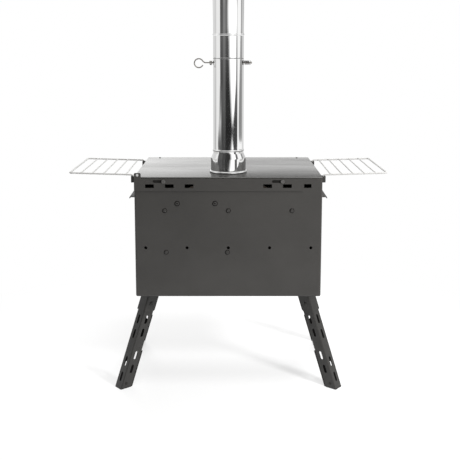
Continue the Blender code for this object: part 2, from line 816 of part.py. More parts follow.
def rear_air_slider():
    """Strip along the top of the rear panel, with a pull tab at its left end."""
    left = -BODY_WIDTH / 2
    right = BODY_WIDTH / 2 - REAR_SLIDER_END
    top = TOP_Z - REAR_SLIDER_DROP
    bottom = top - REAR_SLIDER_HEIGHT
    tab_top = TOP_Z + TAB_RISE
    tab_right = left + TAB_WIDTH
    corners = [(left, bottom, 0), (right, bottom, SLIDER_CORNER), (right, top, 0),
               (tab_right, top, 0), (tab_right, tab_top, TAB_CORNER),
               (left, tab_top, TAB_CORNER)]
    tab_hole_z = tab_top - TAB_WIDTH / 3
    outlines = [rounded(corners),
                circle((left + tab_right) / 2, tab_hole_z, TAB_HOLE)]
    port_z = TOP_Z - REAR_PORT_DROP
    for x in rear_ports()[:-1]:
        outlines.append(rectangle(x, port_z, PORT_LENGTH, PORT_HEIGHT))
    guide_z = TOP_Z - GUIDE_DROP
    for x in rear_guides():
        outlines.append(guide_slot(x, guide_z))
    inner = REAR_Y - SLIDER_GAP
    piece = upright_sheet("rear_air_slider", outlines, inner - SLIDER_SHEET, inner)
    finish(piece, PAINTED_STEEL)
    for side, x in zip(("left", "right"), rear_guides()):
        guide_screw("rear_guide_screw_" + side, x, guide_z, REAR_Y, -1)
    joint_at("rear_air_slide", (left, inner, port_z), piece)


def front_air_slider():
    """Strip below the door, with a tab bent forward at its right-hand end."""
    port_z = BODY_CLEARANCE + FRONT_PORT_RISE
    guides = front_guides()
    left = guides[0] - FRONT_SLIDER_MARGIN / 2 - SLIDER_TRAVEL / 2
    right = guides[1] + FRONT_SLIDER_MARGIN / 2 - SLIDER_TRAVEL / 2
    low, high = port_z - FRONT_SLIDER_HEIGHT / 2, port_z + FRONT_SLIDER_HEIGHT / 2
    outlines = [rounded([(left, low, SLIDER_CORNER), (right, low, 0), (right, high, 0),
                         (left, high, SLIDER_CORNER)])]
    for x in front_ports():
        outlines.append(rectangle(x, port_z, PORT_LENGTH, PORT_HEIGHT))
    for x in guides:
        outlines.append(guide_slot(x, port_z))
    inner = FRONT_Y + SLIDER_GAP
    piece = upright_sheet("front_air_slider", outlines, inner, inner + SLIDER_SHEET)
    tab_outline = rounded([(inner + SLIDER_SHEET / 2, low, 0),
                           (inner + FRONT_TAB_REACH, low, TAB_CORNER),
                           (inner + FRONT_TAB_REACH, high, TAB_CORNER),
                           (inner + SLIDER_SHEET / 2, high, 0)])
    tab = extrusion("front_slider_tab", [tab_outline], right - SLIDER_SHEET, right - GAP,
                    Y_AXIS, Z_AXIS, X_AXIS)
    join(piece, tab)
    finish(piece, PAINTED_STEEL)
    for side, x in zip(("left", "right"), guides):
        guide_screw("front_guide_screw_" + side, x, port_z, FRONT_Y, 1)
    joint_at("front_air_slide", (left, inner, port_z), piece)


# Flue

def ring_radius():
    """Outer radius of the ring in the top plate that the flue's bell fits over."""
    return BELL_RADIUS - PIPE_WALL - SPIGOT_GAP


def bead(height, radius):
    """Formed bead on a pipe, from its upper edge to its lower edge."""
    return [(radius, height + 2 * BEAD_HALF), (radius + BEAD_STAND, height + BEAD_HALF),
            (radius + BEAD_STAND, height - BEAD_HALF), (radius, height - 2 * BEAD_HALF)]


def spigot_radius():
    return PIPE_RADIUS - PIPE_WALL - GAP


def flue_ring():
    outer = ring_radius()
    under = -TOP_THICKNESS - GAP
    profile = [(outer, RING_HEIGHT), (outer, under), (outer + RING_FLANGE, under),
               (outer + RING_FLANGE, under - RING_WALL), (outer - RING_WALL, under - RING_WALL),
               (outer - RING_WALL, RING_HEIGHT)]
    piece = turned("flue_ring", profile, (0, FLUE_Y, TOP_Z), Z_AXIS, PIPE_STEPS)
    return finish(piece, STEEL_PLATE)


def flue_lower():
    """Lower flue: a bell with a rolled rim, a bead, the pipe and a reduced spigot."""
    rim_middle = GAP + RIM_RADIUS
    rim = []
    for step in range(RIM_STEPS + 1):
        angle = radians(100) - radians(190) * step / RIM_STEPS
        rim.append((BELL_RADIUS + RIM_RADIUS / 4 + RIM_RADIUS * cos(angle),
                    rim_middle + RIM_RADIUS * sin(angle)))
    outer = [(spigot_radius(), SEAM_HEIGHT + SPIGOT_LENGTH), (spigot_radius(), SEAM_HEIGHT),
             (PIPE_RADIUS, SEAM_HEIGHT - PIPE_WALL), *bead(BELL_BEAD, PIPE_RADIUS),
             (BELL_RADIUS, BELL_HEIGHT), *rim]
    wall = PIPE_WALL
    inner = [(BELL_RADIUS - wall, GAP), (BELL_RADIUS - wall, BELL_HEIGHT - wall / 2),
             (PIPE_RADIUS - wall, BELL_SHOULDER - wall / 2),
             (PIPE_RADIUS - wall, SEAM_HEIGHT - 2 * wall),
             (spigot_radius() - wall, SEAM_HEIGHT - wall / 2),
             (spigot_radius() - wall, SEAM_HEIGHT + SPIGOT_LENGTH)]
    piece = turned("flue_lower", outer + inner, (0, FLUE_Y, TOP_Z), Z_AXIS, PIPE_STEPS)
    reach = PIPE_RADIUS + OVERRUN
    cut(piece, rod("damper_bore", ROD_RADIUS + GAP, -reach, reach, (0, FLUE_Y, DAMPER_Z), X_AXIS))
    return finish(piece, STAINLESS)


def flue_upper():
    """Upper flue: its foot slips over the lower one, and its top has a spigot."""
    wall = PIPE_WALL
    foot = SEAM_HEIGHT + GAP
    shoulder = SEAM_HEIGHT + UPPER_LENGTH
    top = shoulder + SPIGOT_LENGTH
    profile = [(spigot_radius(), top), (spigot_radius(), shoulder), (PIPE_RADIUS, shoulder - wall),
               *bead(UPPER_BEAD_HEIGHT, PIPE_RADIUS), (PIPE_RADIUS, foot),
               (PIPE_RADIUS - wall, foot), (PIPE_RADIUS - wall, shoulder - 2 * wall),
               (spigot_radius() - wall, shoulder - wall / 2), (spigot_radius() - wall, top)]
    piece = turned("flue_upper", profile, (0, FLUE_Y, TOP_Z), Z_AXIS, PIPE_STEPS)
    return finish(piece, STAINLESS)


# Damper

def damper_plate():
    """Disc with two vents on a sleeve round the rod, drawn open."""
    centre = (0, FLUE_Y, DAMPER_Z)
    radius = PIPE_RADIUS - PIPE_WALL - DAMPER_PLAY
    outlines = [circle(0, 0, radius, PIPE_STEPS)]
    for side in (-1, 1):
        outlines.append(circle(0, side * DAMPER_VENT_OFFSET, DAMPER_VENT))
    piece = extrusion("damper_plate", outlines, -DAMPER_SHEET / 2, DAMPER_SHEET / 2,
                      X_AXIS, Z_AXIS, Y_AXIS, centre)
    reach = radius - 2 * DAMPER_PLAY
    join(piece, rod("damper_sleeve", DAMPER_SLEEVE, -reach, reach, centre, X_AXIS))
    bore_reach = radius + OVERRUN
    cut(piece, rod("damper_sleeve_bore", ROD_RADIUS + GAP, -bore_reach, bore_reach, centre,
                   X_AXIS))
    return finish(piece, CAST_IRON)


def damper_handle():
    """Wire rod through the flue, with an open loop at its left end."""
    loop_x = -PIPE_RADIUS - LOOP_REACH
    loop_z = DAMPER_Z - LOOP_DROP
    end_x = spring_start() + SPRING_LENGTH + WASHER_SHEET + 2 * GAP
    path = []
    for step in range(LOOP_STEPS + 1):
        angle = radians(LOOP_START + LOOP_SWEEP * (1 - step / LOOP_STEPS))
        path.append((loop_x + LOOP_RADIUS * cos(angle), FLUE_Y, loop_z + LOOP_RADIUS * sin(angle)))
    neck = (loop_x + LOOP_NECK, FLUE_Y, DAMPER_Z)
    path += [neck, (end_x + ROD_HEAD_LENGTH / 2, FLUE_Y, DAMPER_Z)]
    piece = wire("damper_handle", path, ROD_RADIUS)
    head = [(0, ROD_HEAD_LENGTH), (ROD_HEAD * 2 / 3, ROD_HEAD_LENGTH), (ROD_HEAD, GAP), (0, GAP)]
    join(piece, turned("damper_rod_head", head, (end_x, FLUE_Y, DAMPER_Z), X_AXIS))
    return finish(piece, STAINLESS)


def spring_start():
    return PIPE_RADIUS + SPRING_WIRE + GAP


def least_gap(points, radius, skip):
    """Least clear distance between stretches of one wire more than skip points apart."""
    least = min((points[a] - points[b]).length
                for a in range(len(points)) for b in range(a + skip, len(points)))
    return least - 2 * radius


def damper_spring():
    """Open coil between the flue and the washer, as one unbroken wire."""
    start = spring_start()
    length = SPRING_LENGTH - 2 * SPRING_WIRE
    count = SPRING_CURLS * CURL_STEPS
    points = []
    for step in range(count + 1):
        angle = 2 * pi * step / CURL_STEPS
        points.append(Vector((start + length * step / count,
                              FLUE_Y + SPRING_RADIUS * cos(angle),
                              DAMPER_Z + SPRING_RADIUS * sin(angle))))
    print("least gap between the spring's curls, mm:",
          round(1000 * least_gap(points, SPRING_WIRE, CURL_STEPS - 1), 2))
    return finish(wire("damper_spring", points, SPRING_WIRE, 1), STAINLESS)


def damper_washer():
    low = spring_start() + SPRING_LENGTH
    piece = ring("damper_washer", WASHER_RADIUS, ROD_RADIUS + GAP, low, low + WASHER_SHEET,
                 (0, FLUE_Y, DAMPER_Z), X_AXIS)
    return finish(piece, STAINLESS)


def damper_collar():
    high = -PIPE_RADIUS - COLLAR_SETBACK
    piece = ring("damper_collar", COLLAR_RADIUS, ROD_RADIUS + GAP, high - COLLAR_LENGTH, high,
                 (0, FLUE_Y, DAMPER_Z), X_AXIS)
    return finish(piece, ZINC_STEEL)


def flue():
    flue_ring()
    lower = flue_lower()
    upper = flue_upper()
    turning = [damper_plate(), damper_handle(), damper_spring(), damper_washer(),
               damper_collar()]
    lift = joint_at("flue_lower_lift", (0, FLUE_Y, TOP_Z), lower)
    upper_lift = joint_at("flue_upper_lift", (0, FLUE_Y, TOP_Z + SEAM_HEIGHT), upper)
    damper_turn = joint_at("damper_turn", (0, FLUE_Y, DAMPER_Z), *turning)
    for joint in (upper_lift, damper_turn):
        joint.parent = lift
        joint.matrix_parent_inverse = lift.matrix_world.inverted()


# Side racks, saddles and ledges

def rack(name, side):
    """Wire frame that hooks down into two saddles, with its cross bars."""
    hook_x = side * (WALL_X + RACK_STAND)
    outer_x = side * (BODY_WIDTH / 2 + RACK_REACH)
    bottom = TOP_Z - RACK_HOOK
    inner_z = rack_height()
    outer_z = inner_z + RACK_RISE
    near, far = REAR_Y + RACK_NEAR, REAR_Y + RACK_FAR
    path = rounded_path([(hook_x, near, bottom), (hook_x, near, inner_z), (outer_x, near, outer_z),
                         (outer_x, far, outer_z), (hook_x, far, inner_z), (hook_x, far, bottom)],
                        RACK_BEND)
    piece = wire(name, path, RACK_WIRE)
    slope = (outer_z - inner_z) / (outer_x - hook_x)
    for index in range(RACK_BARS):
        x = outer_x - side * (index + 1) * RACK_BAR_PITCH
        z = inner_z + slope * (x - hook_x) + RACK_BAR / 2
        join(piece, rod(f"{name}_bar_{index + 1}", RACK_BAR, near, far, (x, 0, z), Y_AXIS, 8))
    finish(piece, STAINLESS)
    joint_at(name + "_lift", (hook_x, near, inner_z), piece)


def rack_height():
    """Height of the rack's wire where it lies over the saddle."""
    return TOP_Z - SADDLE_DROP + GAP + RACK_WIRE


def saddle(name, side, wire_y):
    """Strap bent round the rack's hook, open above and below."""
    wall = side * (WALL_X + GAP)
    web = side * (WALL_X + SADDLE_DEPTH - SHEET / 2)
    middle = wire_y - SADDLE_OFFSET
    reach = SADDLE_WIDTH / 2 - SHEET / 2
    line = [(wall, middle - reach), (web, middle - reach), (web, middle + reach),
            (wall, middle + reach)]
    outline = bent_strip(line, SHEET, SADDLE_BEND)
    top = TOP_Z - SADDLE_DROP
    piece = level_sheet(name, [outline], top - SADDLE_HEIGHT, top)
    reach = (BODY_WIDTH / 2 + GAP, wire_y + SADDLE_WIDTH, TOP_Z + GAP)
    cut(piece, block(name + "_plate_notch", (-reach[0], wire_y - SADDLE_WIDTH, PANEL_TOP), reach))
    return finish(piece, BLACK_STEEL)


def side_ledge(name, side):
    """Shelf on the side wall, with a skirt against the wall and a lip outside."""
    half = SHEET / 2
    wall = side * (WALL_X + GAP + half)
    outside = side * (WALL_X + LEDGE_REACH - half)
    top = TOP_Z - LEDGE_DROP - half
    line = [(wall, top - LEDGE_SKIRT), (wall, top), (outside, top), (outside, top - LEDGE_LIP)]
    outline = bent_strip(line, SHEET, LEDGE_BEND)
    piece = upright_sheet(name, [outline], REAR_Y + LEDGE_START, FRONT_Y - LEDGE_END)
    return finish(piece, PAINTED_STEEL)


# Legs

class Corner:
    """Directions and places of one leg, from its side (X) and its end (Y)."""

    def __init__(self, side, end):
        heading = Vector((side * cos(LEG_HEADING), end * sin(LEG_HEADING), 0))
        self.inward_flat = -heading
        self.up = -heading * sin(LEG_TILT) + Z_AXIS * cos(LEG_TILT)
        self.inward = -heading * cos(LEG_TILT) - Z_AXIS * sin(LEG_TILT)
        self.back = Vector((side * sin(LEG_HEADING), -end * cos(LEG_HEADING), 0))
        self.top = Vector((side * (BODY_WIDTH / 2 - LEG_INSET_X),
                           MIDDLE_Y + end * (BODY_DEPTH / 2 - LEG_INSET_Y), BODY_CLEARANCE))
        self.length = BODY_CLEARANCE / cos(LEG_TILT)
        self.foot = self.top - self.up * self.length
        self.pivot_rise = self.length - PIVOT_DROP
        self.pivot = self.foot + self.up * self.pivot_rise + self.inward * PIVOT_INSET

    def along(self, name, outlines, low, high):
        """Run outlines in inward and back along the leg."""
        return extrusion(name, outlines, low, high, self.inward, self.back, self.up, self.foot)

    def through_inner(self, name, outline, low, high):
        """Run an outline in inward and up through the inner flange."""
        return extrusion(name, [outline], low, high, self.inward, self.up, self.back, self.foot)

    def through_outer(self, name, outline, low, high):
        """Run an outline in back and up through the outer flange."""
        return extrusion(name, [outline], low, high, self.back, self.up, self.inward, self.foot)


def leg_slots(corner):
    inner = list(INNER_SLOTS_FROM_FOOT)
    inner += [corner.pivot_rise - drop for drop in INNER_SLOTS_FROM_PIVOT]
    outer = list(OUTER_SLOTS_FROM_FOOT)
    outer += [corner.pivot_rise - drop for drop in OUTER_SLOTS_FROM_PIVOT]
    return inner, outer


def cut_slots(piece, corner, inner, outer):
    """Punch round-ended slots at the given rises in both flanges."""
    for index, rise in enumerate(inner):
        outline = stadium(SLOT_INSET, rise, INNER_SLOT_LENGTH, SLOT_WIDTH, True)
        cut(piece, corner.through_inner(f"{piece.name}_inner_slot_{index + 1}", outline,
                                        -OVERRUN / 2, OVERRUN / 2))
    for index, rise in enumerate(outer):
        outline = stadium(SLOT_INSET, rise, OUTER_SLOT_LENGTH, SLOT_WIDTH, True)
        cut(piece, corner.through_outer(f"{piece.name}_outer_slot_{index + 1}", outline,
                                        -OVERRUN / 2, OVERRUN / 2))


def cut_at_floor(piece):
    low = (-BODY_WIDTH, -BODY_DEPTH, -5 * OVERRUN)
    cut(piece, block(piece.name + "_floor", low, (BODY_WIDTH, BODY_DEPTH, 0)))


def leg_end_outline(corner):
    """Outline of what is cut away above the pivot, round the leg's rounded end."""
    rise = corner.pivot_rise
    shoulder = rise - LEG_END_STEP
    left, right = PIVOT_INSET - LEG_END_RADIUS, PIVOT_INSET + LEG_END_RADIUS
    beyond = LEG_FLANGE + OVERRUN
    top = rise + LEG_END_RADIUS + OVERRUN
    arc = [(PIVOT_INSET - LEG_END_RADIUS * cos(pi * step / ROUND_STEPS),
            rise + LEG_END_RADIUS * sin(pi * step / ROUND_STEPS))
           for step in range(ROUND_STEPS + 1)]
    return [(-OVERRUN, shoulder), (left, shoulder), *arc, (right, shoulder),
            (beyond, shoulder), (beyond, top), (-OVERRUN, top)]


def leg(name, corner):
    """Slotted angle, cut level at the floor and rounded about its pivot."""
    section = angle_section(LEG_FLANGE, LEG_FLANGE, SHEET, 0)
    top = corner.pivot_rise + LEG_END_RADIUS + LEG_END_STEP
    piece = corner.along(name, [section], -2 * OVERRUN, top)
    cut_at_floor(piece)
    cut_slots(piece, corner, *leg_slots(corner))
    cut(piece, corner.through_inner(name + "_end", leg_end_outline(corner),
                                    -OVERRUN, LEG_FLANGE + OVERRUN))
    cut(piece, rod(name + "_pivot_hole", PIVOT_SHANK + GAP, -OVERRUN, OVERRUN,
                   corner.pivot, corner.back))
    rivet = corner.foot + corner.up * FOOT_RIVET_RISE + corner.inward * FOOT_RIVET_INSET
    cut(piece, rod(name + "_rivet_hole", FOOT_RIVET_SHANK + GAP, -OVERRUN / 2, OVERRUN / 2,
                   rivet, corner.back))
    return finish(piece, BLACK_STEEL)


def foot_angle(name, corner):
    """Short angle nested inside the leg's foot and held by a rivet."""
    section = angle_section(LINER_INNER_FLANGE, LINER_OUTER_FLANGE, SHEET, LAP)
    piece = corner.along(name, [section], -2 * OVERRUN, LINER_LENGTH)
    cut_at_floor(piece)
    cut_slots(piece, corner, INNER_SLOTS_FROM_FOOT[1:], (LINER_OUTER_SLOT,))
    rivet = corner.foot + corner.up * FOOT_RIVET_RISE + corner.inward * FOOT_RIVET_INSET
    head = raised(dome(FOOT_RIVET_HEAD, FOOT_RIVET_HEIGHT), GAP)
    inside = -LAP - SHEET
    tail = [(FOOT_RIVET_HEAD, inside + SHEET / 2), (FOOT_RIVET_HEAD, inside - GAP),
            (FOOT_RIVET_SHANK, inside - FOOT_RIVET_HEIGHT), (0, inside - FOOT_RIVET_HEIGHT)]
    profile = head + [(FOOT_RIVET_SHANK, GAP), (FOOT_RIVET_SHANK, inside + SHEET / 2)] + tail
    join(piece, turned(name + "_rivet", profile, rivet, -corner.back))
    return finish(piece, BLACK_STEEL)


def leg_bracket(name, corner):
    """Angle under the firebox, with its plate and the rivet that the leg turns on."""
    start = -BRACKET_SHEET - GAP
    section = angle_section(BRACKET_FLANGE, BRACKET_FLANGE, BRACKET_SHEET, start)
    low = corner.length - BRACKET_LENGTH
    piece = corner.along(name, [section], low, corner.length + 2 * OVERRUN)
    plate_top = WRAP_BOTTOM - GAP
    reach = BODY_WIDTH
    above = block(name + "_top_cut", (-reach, -reach, plate_top - BRACKET_SHEET / 2),
                  (reach, reach, plate_top + 4 * OVERRUN))
    edge = start + BRACKET_FLANGE
    chamfer = [(edge - BRACKET_CORNER, low - OVERRUN), (edge + OVERRUN, low - OVERRUN),
               (edge + OVERRUN, low + OVERRUN + BRACKET_CORNER), (edge, low + BRACKET_CORNER),
               (edge - BRACKET_CORNER * 2 / 3, low)]
    cut(piece, above)
    cut(piece, corner.through_inner(name + "_corner", chamfer, start - OVERRUN / 2, -GAP / 2))
    margin = BRACKET_PLATE_MARGIN
    span = BRACKET_FLANGE + margin
    plate = [(start - margin, start - margin), (span, start - margin), (span, span),
             (start - margin, span)]
    join(piece, extrusion(name + "_plate", [plate], plate_top - BRACKET_SHEET, plate_top,
                          corner.inward_flat, corner.back, Z_AXIS,
                          Vector((corner.top.x, corner.top.y, 0))))
    join(piece, pivot_rivet(name + "_rivet", corner))
    return finish(piece, BLACK_STEEL)


def pivot_rivet(name, corner):
    """Tubular rivet: a ringed head on the bracket and a plain tail inside the leg."""
    face = GAP + BRACKET_SHEET
    height = FASTENER_HEAD_HEIGHT
    head = [(0, height), (PIVOT_SHANK / 2, height * 0.85), (PIVOT_SHANK * 2 / 3, height / 2),
            (PIVOT_SHANK, height / 2), (PIVOT_SHANK + 0.001, height * 0.8),
            (PIVOT_HEAD - 0.001, height * 0.7), (PIVOT_HEAD, height / 4),
            (PIVOT_HEAD, -BRACKET_SHEET / 2)]
    tail = -SHEET - GAP
    profile = raised(head, face) + [
        (PIVOT_SHANK, face - BRACKET_SHEET / 2), (PIVOT_SHANK, tail), (PIVOT_TAIL, tail),
        (PIVOT_TAIL, tail - PIVOT_TAIL_HEIGHT), (0, tail - PIVOT_TAIL_HEIGHT)]
    return turned(name, profile, corner.pivot, -corner.back)


def legs():
    for end_name, end in (("rear", -1), ("front", 1)):
        for side_name, side in (("left", -1), ("right", 1)):
            corner = Corner(side, end)
            place_name = f"{end_name}_{side_name}"
            leg_bracket("leg_bracket_" + place_name, corner)
            moving = [leg("leg_" + place_name, corner), foot_angle("foot_" + place_name, corner)]
            joint_at(f"leg_{place_name}_fold", corner.pivot, *moving)


# Door

def door_frame():
    """Pressed door with a window, and two knuckles on its hinge side."""
    inner = FRONT_Y + DOOR_STAND
    outer = FRONT_Y + DOOR_FACE
    low = (-DOOR_WIDTH / 2, inner, DOOR_Z - DOOR_HEIGHT / 2)
    high = (DOOR_WIDTH / 2, outer, DOOR_Z + DOOR_HEIGHT / 2)
    piece = tray("door_frame", low, high, DOOR_BEND, -1)
    for side in (-1, 1):
        middle = DOOR_Z + side * (DOOR_HEIGHT / 2 - DOOR_BEND - KNUCKLE_LENGTH / 2)
        join(piece, rod(f"door_knuckle_{side + 2}", KNUCKLE_RADIUS, -KNUCKLE_LENGTH / 2,
                        KNUCKLE_LENGTH / 2, (HINGE_X, HINGE_Y, middle), Z_AXIS))
    ends = (outer - DOOR_DEPTH / 2, outer + OVERRUN)
    window = rectangle(0, DOOR_Z, WINDOW_WIDTH, WINDOW_HEIGHT, WINDOW_CORNER)
    cut(piece, upright_sheet("window_cut", [window], *ends))
    cut(piece, upright_sheet("latch_hole", [circle(LATCH_X, DOOR_Z, LATCH_SHAFT + GAP)], *ends))
    for index, (x, z) in enumerate(stud_places()):
        cut(piece, upright_sheet(f"stud_hole_{index + 1}", [circle(x, z, RETAINER_STUD + GAP)],
                                 *ends))
    reach = DOOR_HEIGHT / 2 + OVERRUN
    cut(piece, rod("door_pin_bore", PIN_RADIUS + GAP, -reach, reach,
                   (HINGE_X, HINGE_Y, DOOR_Z), Z_AXIS))
    return finish(piece, PAINTED_STEEL)


def stud_places():
    """Middles of the retainer's four studs, outside the glass."""
    x = WINDOW_WIDTH / 2 + GLASS_LAP + RETAINER_LAP / 2
    z = WINDOW_HEIGHT / 2 + GLASS_LAP + RETAINER_LAP / 2
    return [(side * x, DOOR_Z + end * z) for side in (-1, 1) for end in (-1, 1)]


def door_glass():
    outer = FRONT_Y + DOOR_FACE - SHEET - GAP
    outline = rectangle(0, DOOR_Z, WINDOW_WIDTH + 2 * GLASS_LAP, WINDOW_HEIGHT + 2 * GLASS_LAP,
                        WINDOW_CORNER / 2)
    piece = upright_sheet("door_glass", [outline], outer - GLASS_THICKNESS, outer)
    return finish(piece, CERAMIC_GLASS)


def glass_retainer():
    """Frame behind the glass, with four headed studs through the door."""
    outer = FRONT_Y + DOOR_FACE - SHEET - GLASS_THICKNESS - 2 * GAP
    reach = 2 * (GLASS_LAP + RETAINER_LAP)
    frame = rectangle(0, DOOR_Z, WINDOW_WIDTH + reach, WINDOW_HEIGHT + reach, WINDOW_CORNER)
    window = rectangle(0, DOOR_Z, WINDOW_WIDTH, WINDOW_HEIGHT, WINDOW_CORNER)
    piece = upright_sheet("glass_retainer", [frame, window], outer - SHEET, outer)
    rise = SHEET + GLASS_THICKNESS + 3 * GAP
    head = raised(dome(RETAINER_STUD_HEAD, RETAINER_STUD_HEIGHT), rise)
    profile = head + [(RETAINER_STUD, rise), (RETAINER_STUD, -SHEET / 2), (0, -SHEET / 2)]
    for index, (x, z) in enumerate(stud_places()):
        join(piece, turned(f"retainer_stud_{index + 1}", profile, (x, outer, z), Y_AXIS, 12))
    return finish(piece, ZINC_STEEL)


def hinge_lug(name, side):
    """Leaf and knuckle on the front panel, above or below the door's knuckle."""
    edge = DOOR_HEIGHT / 2 + LUG_PLAY
    low, high = sorted((DOOR_Z + side * edge, DOOR_Z + side * (edge + LUG_LENGTH)))
    leaf_low = (HINGE_X - KNUCKLE_RADIUS / 2, FRONT_Y + GAP, low + GAP)
    leaf_high = (HINGE_X + LUG_LEAF, FRONT_Y + GAP + LUG_SHEET, high - GAP)
    piece = block(name, leaf_low, leaf_high)
    centre = (HINGE_X, HINGE_Y, 0)
    join(piece, rod(name + "_knuckle", KNUCKLE_RADIUS, low, high, centre, Z_AXIS))
    cut(piece, rod(name + "_bore", PIN_RADIUS + GAP, low - OVERRUN, high + OVERRUN, centre,
                   Z_AXIS))
    return finish(piece, PAINTED_STEEL)


def hinge_pin():
    reach = DOOR_HEIGHT / 2 + LUG_PLAY + LUG_LENGTH
    top = reach + GAP
    profile = [(0, top + PIN_HEAD_HEIGHT), (PIN_HEAD, top + PIN_HEAD_HEIGHT), (PIN_HEAD, top),
               (PIN_RADIUS, top), (PIN_RADIUS, -reach - PIN_OVERHANG), (0, -reach - PIN_OVERHANG)]
    return finish(turned("hinge_pin", profile, (HINGE_X, HINGE_Y, DOOR_Z), Z_AXIS), STAINLESS)


def latch_lever():
    """Boss, spindle and lever rod, drawn level in the released position."""
    centre = (LATCH_X, FRONT_Y, DOOR_Z)
    boss_base = DOOR_FACE + GAP
    rod_y = DOOR_FACE + LATCH_ROD_OUT
    top = rod_y + LATCH_ROD + GAP
    end = -SHEET - CAM_BEHIND - CAM_SHEET - 2 * GAP
    tail = end - LATCH_SHAFT / 2
    profile = [(0, top), (LATCH_BOSS * 2 / 3, top), (LATCH_BOSS, rod_y), (LATCH_BOSS, boss_base),
               (LATCH_SHAFT, boss_base), (LATCH_SHAFT, end), (LATCH_BOSS * 2 / 3, end),
               (LATCH_BOSS * 2 / 3, tail), (0, tail)]
    piece = turned("latch_lever", profile, centre, Y_AXIS)
    join(piece, rod("latch_rod", LATCH_ROD, 0, LATCH_REACH, (LATCH_X, FRONT_Y + rod_y, DOOR_Z),
                    -X_AXIS))
    return finish(piece, ZINC_STEEL)


def latch_grip():
    """Turned grip round the lever rod, fuller in its middle."""
    length = LATCH_REACH - GRIP_START
    bore = LATCH_ROD + GAP
    profile = []
    for step in range(ARC_STEPS * 2 + 1):
        share = step / (ARC_STEPS * 2)
        radius = GRIP_END_RADIUS + (GRIP_RADIUS - GRIP_END_RADIUS) * sin(pi * share)
        profile.append((radius, LATCH_REACH - GAP - length * share))
    profile += [(bore, LATCH_REACH - GAP - length), (bore, LATCH_REACH - GAP)]
    centre = (LATCH_X, FRONT_Y + DOOR_FACE + LATCH_ROD_OUT, DOOR_Z)
    return finish(turned("latch_grip", profile, centre, -X_AXIS), GRIP_BLACK)


def latch_cam():
    """Tongue on the spindle that swings behind the front panel's edge."""
    high = FRONT_Y - SHEET - CAM_BEHIND
    half = CAM_WIDTH / 2
    outline = stadium(LATCH_X, DOOR_Z + CAM_LENGTH / 2 - half / 2, CAM_LENGTH + half, CAM_WIDTH,
                      True)
    bore = circle(LATCH_X, DOOR_Z, LATCH_SHAFT + GAP)
    return finish(upright_sheet("latch_cam", [outline, bore], high - CAM_SHEET, high), ZINC_STEEL)


def door():
    swinging = [door_frame(), door_glass(), glass_retainer()]
    hinge_lug("hinge_lug_upper", 1)
    hinge_lug("hinge_lug_lower", -1)
    hinge_pin()
    turning = [latch_lever(), latch_grip(), latch_cam()]
    hinge = joint_at("door_swing", (HINGE_X, HINGE_Y, DOOR_Z), *swinging)
    latch = joint_at("latch_turn", (LATCH_X, FRONT_Y, DOOR_Z), *turning)
    latch.parent = hinge
    latch.matrix_parent_inverse = hinge.matrix_world.inverted()


def stove():
    firebox_wrap()
    rear_panel()
    front_panel()
    top_plate()
    top_screws()
    rear_liner()
    for fastener in liner_fasteners():
        liner_fastener(*fastener)
    grate()
    rear_air_slider()
    front_air_slider()
    door()
    flue()
    for side_name, side in (("left", -1), ("right", 1)):
        rack("rack_" + side_name, side)
        saddle(f"rack_saddle_near_{side_name}", side, REAR_Y + RACK_NEAR)
        saddle(f"rack_saddle_far_{side_name}", side, REAR_Y + RACK_FAR)
        side_ledge("side_ledge_" + side_name, side)
    legs()


clear_scene()
PARTS = new_collection("wood_stove")
CUTTERS = new_collection("cutters")
stove()
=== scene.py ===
"""Finished look of the camp wood stove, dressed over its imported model.

Metres, +Z up. The flue side faces -Y, which is also where the camera stands.
"""

import bmesh
import bpy
import json
from math import cos, pi, radians, sin
from mathutils import Matrix, Vector

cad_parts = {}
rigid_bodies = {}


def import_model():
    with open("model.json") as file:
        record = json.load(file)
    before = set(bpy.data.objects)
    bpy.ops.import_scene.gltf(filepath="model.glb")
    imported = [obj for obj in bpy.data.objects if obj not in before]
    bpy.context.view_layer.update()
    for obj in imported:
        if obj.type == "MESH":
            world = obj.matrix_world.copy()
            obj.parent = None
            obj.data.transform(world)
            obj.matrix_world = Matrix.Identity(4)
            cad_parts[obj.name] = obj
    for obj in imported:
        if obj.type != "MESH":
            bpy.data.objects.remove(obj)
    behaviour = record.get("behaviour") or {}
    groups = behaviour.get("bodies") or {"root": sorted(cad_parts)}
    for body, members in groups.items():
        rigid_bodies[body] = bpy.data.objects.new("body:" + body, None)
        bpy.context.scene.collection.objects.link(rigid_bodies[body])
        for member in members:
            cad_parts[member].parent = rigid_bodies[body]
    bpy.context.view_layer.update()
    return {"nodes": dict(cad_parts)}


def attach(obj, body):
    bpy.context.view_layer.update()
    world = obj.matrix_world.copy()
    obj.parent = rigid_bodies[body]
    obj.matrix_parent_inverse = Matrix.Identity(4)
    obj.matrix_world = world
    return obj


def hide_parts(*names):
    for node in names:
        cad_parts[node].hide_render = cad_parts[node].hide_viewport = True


# Places and sizes repeated from the model
FLUE = Vector((0.0, -0.1022, 0.5335))
PIPE_RADIUS = 0.038
PIPE_WALL = 0.0008
SPIGOT_RADIUS = 0.0369
BELL_RADIUS = 0.043
BELL_HEIGHT = 0.036
BELL_SHOULDER = 0.048
BELL_BEAD = 0.0555
SEAM_HEIGHT = 0.280
UPPER_BEAD = 0.336
UPPER_TOP = 0.445
UPPER_END = 0.501
LOWER_END = 0.336
DAMPER_Z = 0.8025
ROD_RADIUS = 0.0015
LOOP_RADIUS = 0.0108
LOOP_X = -0.0720
LOOP_DROP = 0.0013
LOOP_START = 335
LOOP_TURN = 290
SPRING_START = 0.0389
SPRING_END = 0.0529
RACK_NEAR = -0.1617
RACK_FAR = 0.0923
RACK_HOOK_X = 0.2287
RACK_OUTER_X = 0.383
RACK_INNER_Z = 0.5351
RACK_OUTER_Z = 0.5396
RACK_HOOK_Z = 0.5197
RACK_BEND = 0.0065
RACK_WIRE = 0.0020
RACK_BAR = 0.0015
